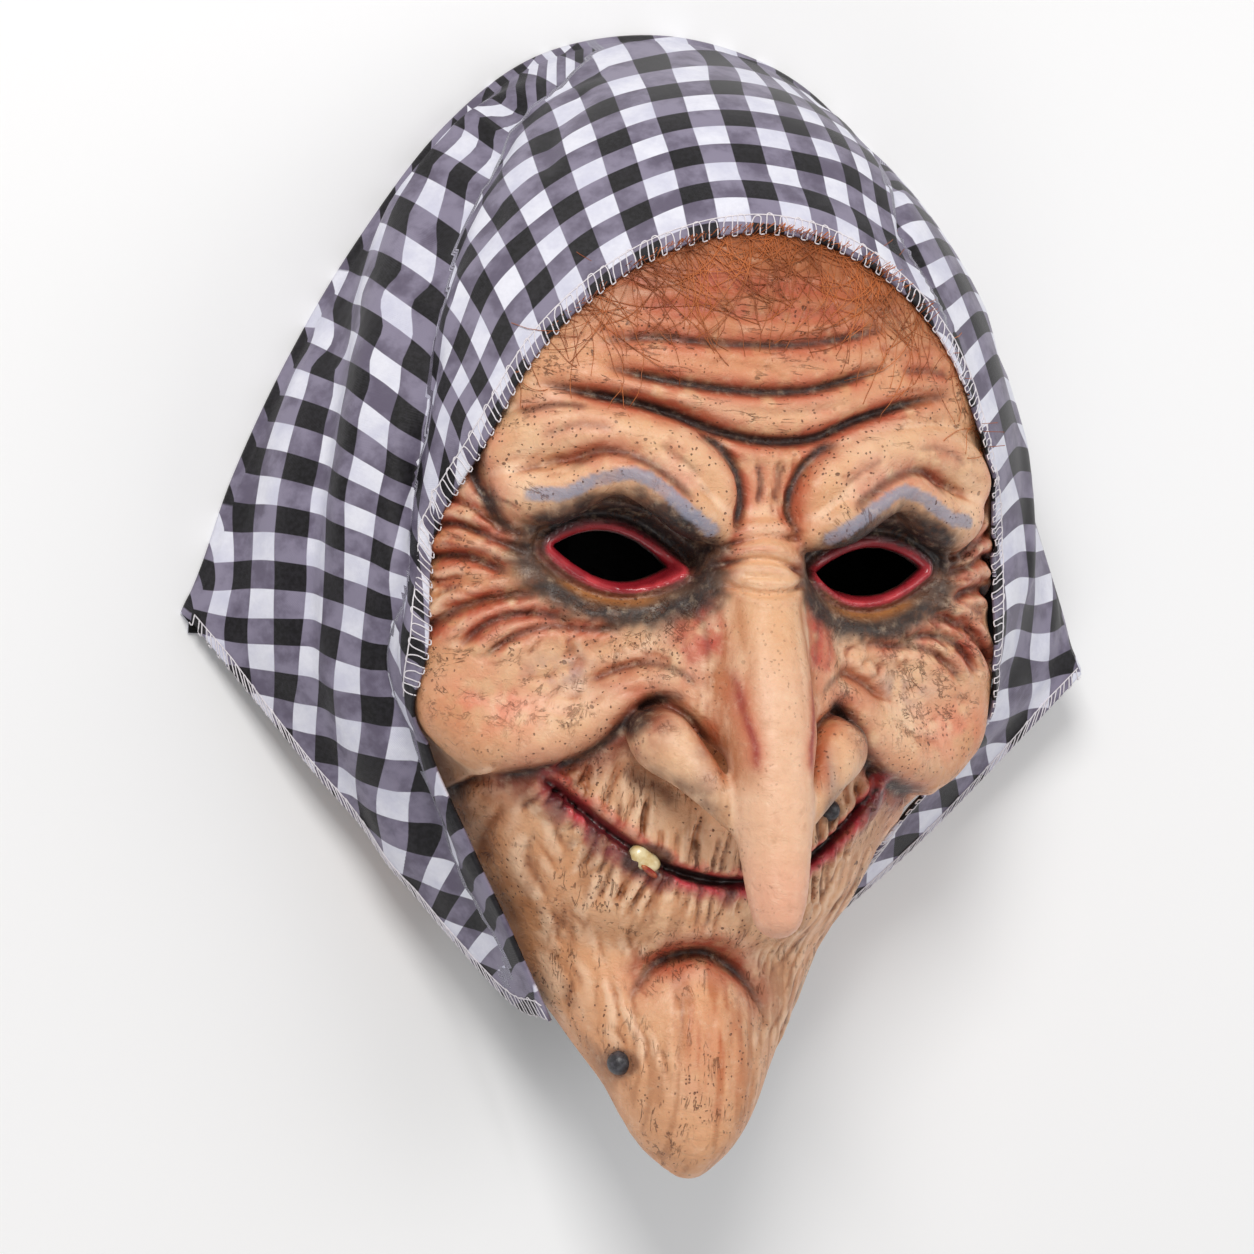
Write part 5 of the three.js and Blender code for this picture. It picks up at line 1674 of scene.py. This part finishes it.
class Nodes:
    """A small writer of shader nodes."""

    def __init__(self, name):
        self.material = bpy.data.materials.new(name)
        self.material.use_nodes = True
        self.tree = self.material.node_tree
        self.shader = self.tree.nodes["Principled BSDF"]

    def new(self, kind, **settings):
        node = self.tree.nodes.new("ShaderNode" + kind)
        for key, value in settings.items():
            setattr(node, key, value)
        return node

    def put(self, socket, value):
        if isinstance(value, bpy.types.NodeSocket):
            self.tree.links.new(value, socket)
        elif isinstance(value, tuple) and len(value) == 3 and len(socket.default_value) == 4:
            socket.default_value = (*value, 1)
        else:
            socket.default_value = value

    def attribute(self, name, output="Fac"):
        return self.new("Attribute", attribute_name=name).outputs[output]

    def maths(self, operation, *values):
        node = self.new("Math", operation=operation)
        for socket, value in zip(node.inputs, values):
            self.put(socket, value)
        return node.outputs[0]

    def times(self, first, second):
        return self.maths("MULTIPLY", first, second)

    def most(self, values):
        """The largest of the values."""
        largest = values[0]
        for value in values[1:]:
            largest = self.maths("MAXIMUM", largest, value)
        return largest

    def ramp(self, value, low, high, to_low=0.0, to_high=1.0):
        node = self.new("MapRange", interpolation_type="SMOOTHSTEP")
        for key, number in (("Value", value), ("From Min", low), ("From Max", high), ("To Min", to_low),
                            ("To Max", to_high)):
            self.put(node.inputs[key], number)
        return node.outputs[0]

    def mix(self, share, first, second):
        node = self.new("Mix", data_type="RGBA")
        self.put(node.inputs["Factor"], share)
        self.put(node.inputs[6], first)
        self.put(node.inputs[7], second)
        return node.outputs[2]

    def speckle(self, vector, scale, size, share):
        """Round dots of this size in a few of the cells, those whose random number is above the share."""
        cells = self.new("TexVoronoi", feature="F1")
        self.put(cells.inputs["Vector"], vector)
        cells.inputs["Scale"].default_value = scale
        number = self.new("SeparateColor")
        self.put(number.inputs[0], cells.outputs["Color"])
        chosen = self.ramp(number.outputs[0], share, share + 0.01)
        return self.times(self.ramp(cells.outputs["Distance"], size, size + 0.1, 1.0, 0.0), chosen)

    def wobbled(self, vector, scale, reach):
        """The place moved a little by a noise, so that round cells turn out ragged."""
        noise = self.new("TexNoise")
        self.put(noise.inputs["Vector"], vector)
        noise.inputs["Scale"].default_value = scale
        shift = self.new("VectorMath", operation="SCALE")
        self.put(shift.inputs[0], noise.outputs["Color"])
        shift.inputs["Scale"].default_value = reach
        total = self.new("VectorMath", operation="ADD")
        self.put(total.inputs[0], vector)
        self.put(total.inputs[1], shift.outputs[0])
        return total.outputs[0]

    def place(self):
        return self.new("TexCoord").outputs["Object"]

    def stretched(self, scale, turn=(0, 0, 0)):
        node = self.new("Mapping")
        self.put(node.inputs["Vector"], self.place())
        node.inputs["Scale"].default_value = scale
        node.inputs["Rotation"].default_value = turn
        return node.outputs[0]

    def noise(self, vector, scale, detail=2.0, roughness=0.5, distortion=0.0):
        node = self.new("TexNoise")
        self.put(node.inputs["Vector"], vector)
        for key, value in (("Scale", scale), ("Detail", detail), ("Roughness", roughness),
                           ("Distortion", distortion)):
            node.inputs[key].default_value = value
        return node.outputs["Fac"]

    def bump(self, height, distance, strength=1.0, normal=None):
        node = self.new("Bump")
        self.put(node.inputs["Height"], height)
        node.inputs["Distance"].default_value = distance
        node.inputs["Strength"].default_value = strength
        if normal is not None:
            self.put(node.inputs["Normal"], normal)
        return node.outputs[0]

    def finish(self, colour, roughness, normal=None, **values):
        self.put(self.shader.inputs["Base Color"], colour)
        self.put(self.shader.inputs["Roughness"], roughness)
        if normal is not None:
            self.put(self.shader.inputs["Normal"], normal)
        for key, value in values.items():
            self.shader.inputs[key.replace("_", " ")].default_value = value
        return self.material


def line_work(n, bare):
    """Fine lines of brown paint: level on the forehead, upright round the mouth, fanned beside the eyes."""
    turned = n.new("CombineXYZ")
    n.put(turned.inputs[0], n.times(n.attribute("eye_turn"), 7.0))
    n.put(turned.inputs[1], n.times(n.attribute("eye_reach"), 0.06))
    families = (("brow_lines", n.noise(n.stretched((48, 300, 140)), 1.0, 4, 0.6, 0.5)),
                ("mouth_lines", n.noise(n.stretched((330, 52, 160)), 1.0, 4, 0.6, 0.6)),
                ("eye_lines", n.noise(turned.outputs[0], 1.0, 4, 0.62, 0.5)),
                ("cheek_lines", n.noise(n.stretched((120, 260, 200), (0, 0, 0.5)), 1.0, 4, 0.62, 1.6)))
    each = []
    for mask, value in families:
        away = n.maths("ABSOLUTE", n.maths("SUBTRACT", value, 0.5))
        each.append(n.times(n.attribute(mask), n.ramp(away, 0.004, 0.026, 1.0, 0.0)))
    where = n.ramp(n.noise(n.place(), 75, 3, 0.6), 0.44, 0.62, 0.03, 1.0)
    broken = n.ramp(n.noise(n.place(), 290, 2, 0.5), 0.44, 0.54, 0.0, 1.0)
    return n.times(n.times(n.most(each), where), n.times(broken, bare))


# Dots of paint on the skin: cells to a metre, size in a cell, and the share of cells without one
SPECKS = ((330, 0.11, 0.86), (620, 0.14, 0.78), (1000, 0.2, 0.8))


def latex_material():
    n = Nodes("painted_latex")
    here = n.place()
    bare = n.maths("SUBTRACT", 1.0, n.attribute("plain"))
    lines = line_work(n, bare)
    mottle = n.noise(here, 330, 5, 0.62)
    blots = n.noise(here, 110, 4, 0.6)
    colour = n.attribute("paint", "Color")
    for share, tone in ((n.ramp(blots, 0.52, 0.74, 0.0, 0.26), (204, 134, 84)),
                        (n.ramp(mottle, 0.52, 0.8, 0.0, 0.24), (160, 92, 52)),
                        (n.ramp(mottle, 0.5, 0.2, 0.0, 0.28), (250, 218, 184))):
        colour = n.mix(n.times(bare, share), colour, linear(*tone))
    colour = n.mix(n.times(lines, 0.7), colour, linear(112, 62, 34))
    # Specks and short dashes of dark paint, fewer on the nose
    ragged = n.wobbled(here, 240, 0.0022)
    pitted = n.most([n.speckle(ragged, *dots) for dots in SPECKS])
    zone = n.ramp(n.noise(here, 45, 2), 0.38, 0.6, 0.12, 1.0)
    quiet = n.ramp(n.attribute("nose_lines"), 0.2, 0.9, 1.0, 0.35)
    specks = n.times(n.times(pitted, zone), n.times(bare, quiet))
    colour = n.mix(n.times(specks, 0.8), colour, linear(92, 50, 30))
    rough = n.maths("SUBTRACT", n.ramp(mottle, 0.3, 0.7, 0.40, 0.54), n.times(n.attribute("wet"), 0.22))
    pores = n.noise(here, 1500, 3, 0.6)
    ripples = n.noise(n.stretched((220, 300, 300)), 1.0, 5, 0.62, 0.8)
    normal = n.bump(n.times(pores, bare), 0.00012, 0.6)
    normal = n.bump(n.times(n.most([lines, specks]), -1.0), 0.00035, 0.9, normal)
    normal = n.bump(n.times(ripples, bare), 0.0011, 0.6, normal)
    return n.finish(colour, rough, normal, Subsurface_Weight=0.05, Subsurface_Scale=0.002,
                    Specular_IOR_Level=0.5, Coat_Weight=0.1, Coat_Roughness=0.3)


# A dark stripe of the check ends between these shares of a repeat from its middle
STRIPE_FADE = (0.240, 0.256)
# Threads in a repeat
THREADS = 34


def cloth_material():
    n = Nodes("woven_check")
    stripes, waves = [], []
    for name in ("warp", "weft"):
        count = n.attribute(name)
        part = n.maths("FRACT", n.maths("ADD", count, 100.5))
        away = n.maths("ABSOLUTE", n.maths("SUBTRACT", part, 0.5))
        stripes.append(n.ramp(away, *STRIPE_FADE, 1.0, 0.0))
        waves.append(n.maths("SINE", n.times(count, 2 * math.pi * THREADS)))
    cloud = n.noise(n.place(), 90, 4, 0.6)
    fine = n.noise(n.place(), 900, 2, 0.5)
    grey = n.mix(n.ramp(cloud, 0.36, 0.62), linear(100, 92, 112), linear(140, 133, 154))
    white = n.mix(n.ramp(cloud, 0.3, 0.75), linear(238, 238, 248), linear(212, 212, 230))
    black = n.mix(n.ramp(cloud, 0.3, 0.7), linear(6, 4, 6), linear(18, 14, 19))
    colour = n.mix(n.most(stripes), white, grey)
    colour = n.mix(n.times(*stripes), colour, black)
    colour = n.mix(n.ramp(fine, 0.3, 0.7, 0.0, 0.05), colour, linear(128, 124, 138))
    # Painted shade: the inside of the cloth under the mask near-black
    colour = n.mix(n.attribute("inner_shade"), colour, linear(16, 14, 16))
    normal = n.bump(n.times(*waves), 0.00006, 0.5)
    return n.finish(colour, 0.42, normal, Sheen_Weight=0.02, Sheen_Roughness=0.4, Specular_IOR_Level=0.3)


def thread_material():
    n = Nodes("pale_thread")
    shade = n.noise(n.place(), 700, 2)
    return n.finish(n.mix(shade, linear(214, 206, 212), linear(246, 242, 246)), 0.6)


def tooth_material():
    n = Nodes("yellow_tooth")
    shade = n.noise(n.place(), 420, 3)
    return n.finish(n.mix(n.ramp(shade, 0.35, 0.7), linear(242, 228, 182), linear(214, 186, 128)), 0.25,
                    Coat_Weight=0.3, Coat_Roughness=0.15)


def gum_material():
    n = Nodes("gum")
    shade = n.noise(n.place(), 500, 3)
    return n.finish(n.mix(n.ramp(shade, 0.35, 0.65), linear(190, 108, 58), linear(150, 52, 44)), 0.3)


def mole_material():
    n = Nodes("dark_mole")
    shade = n.noise(n.place(), 700, 4, 0.65)
    colour = n.mix(n.ramp(shade, 0.4, 0.7), linear(46, 44, 48), linear(78, 76, 82))
    return n.finish(colour, 0.38, n.bump(shade, 0.0002, 0.6))


def hair_material():
    n = Nodes("ginger_hair")
    shade = n.noise(n.place(), 60, 2)
    return n.finish(n.mix(n.ramp(shade, 0.35, 0.65), linear(206, 118, 62), linear(150, 78, 38)), 0.45)


# Scene

FLOOR_SIZE = 3.0
WORLD_STRENGTH = 0.36
LIGHT_TARGET = (0, 0, 0.03)
# Name, place, size, watts and colour of each light
LIGHTS = (("key", (-0.45, 0.75, 1.1), (0.5, 0.5), 11.5, (1, 0.985, 0.96)),
          ("fill", (0.85, 0.1, 0.8), (0.7, 0.7), 3, (1, 1, 1)),
          ("low", (-0.3, -0.9, 0.8), (0.8, 0.5), 2, (1, 1, 1)))


def make_floor():
    half = FLOOR_SIZE / 2
    corners = np.array([(-half, -half, 0), (half, -half, 0), (half, half, 0), (-half, half, 0)])
    floor = mesh_object("floor", corners, np.array([[0, 1, 2, 3]]))
    floor.data.materials.append(Nodes("paper").finish(linear(248, 248, 249), 0.95))


def area_light(name, spot, size, watts, colour):
    data = bpy.data.lights.new(name, "AREA")
    data.shape = "RECTANGLE"
    data.size, data.size_y = size
    data.energy = watts
    data.color = colour
    light = bpy.data.objects.new(name, data)
    light.location = spot
    light.rotation_euler = (Vector(LIGHT_TARGET) - Vector(spot)).to_track_quat("-Z", "Y").to_euler()
    bpy.context.scene.collection.objects.link(light)


def light_studio():
    world = bpy.data.worlds.new("studio")
    world.use_nodes = True
    background = world.node_tree.nodes["Background"]
    background.inputs["Color"].default_value = (1, 1, 1, 1)
    background.inputs["Strength"].default_value = WORLD_STRENGTH
    bpy.context.scene.world = world
    for light in LIGHTS:
        area_light(*light)
    bpy.context.scene.view_settings.view_transform = "Standard"


def add(thing, material):
    thing.data.materials.append(material)
    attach(thing, "root")
    return thing


latex = add(make_latex(), latex_material())
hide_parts("latex_face")
for name, parts, material in (("tooth", [TOOTH], tooth_material), ("gum", [GUM], gum_material),
                              ("moles", MOLES, mole_material)):
    add(moulded(name, parts), material())
add(make_hair(), hair_material())

scarf, scarf_grid = make_scarf()
add(scarf, cloth_material())
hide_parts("scarf")
thread = add(make_stitching(scarf_grid), thread_material())

make_floor()
light_studio()
make_camera()
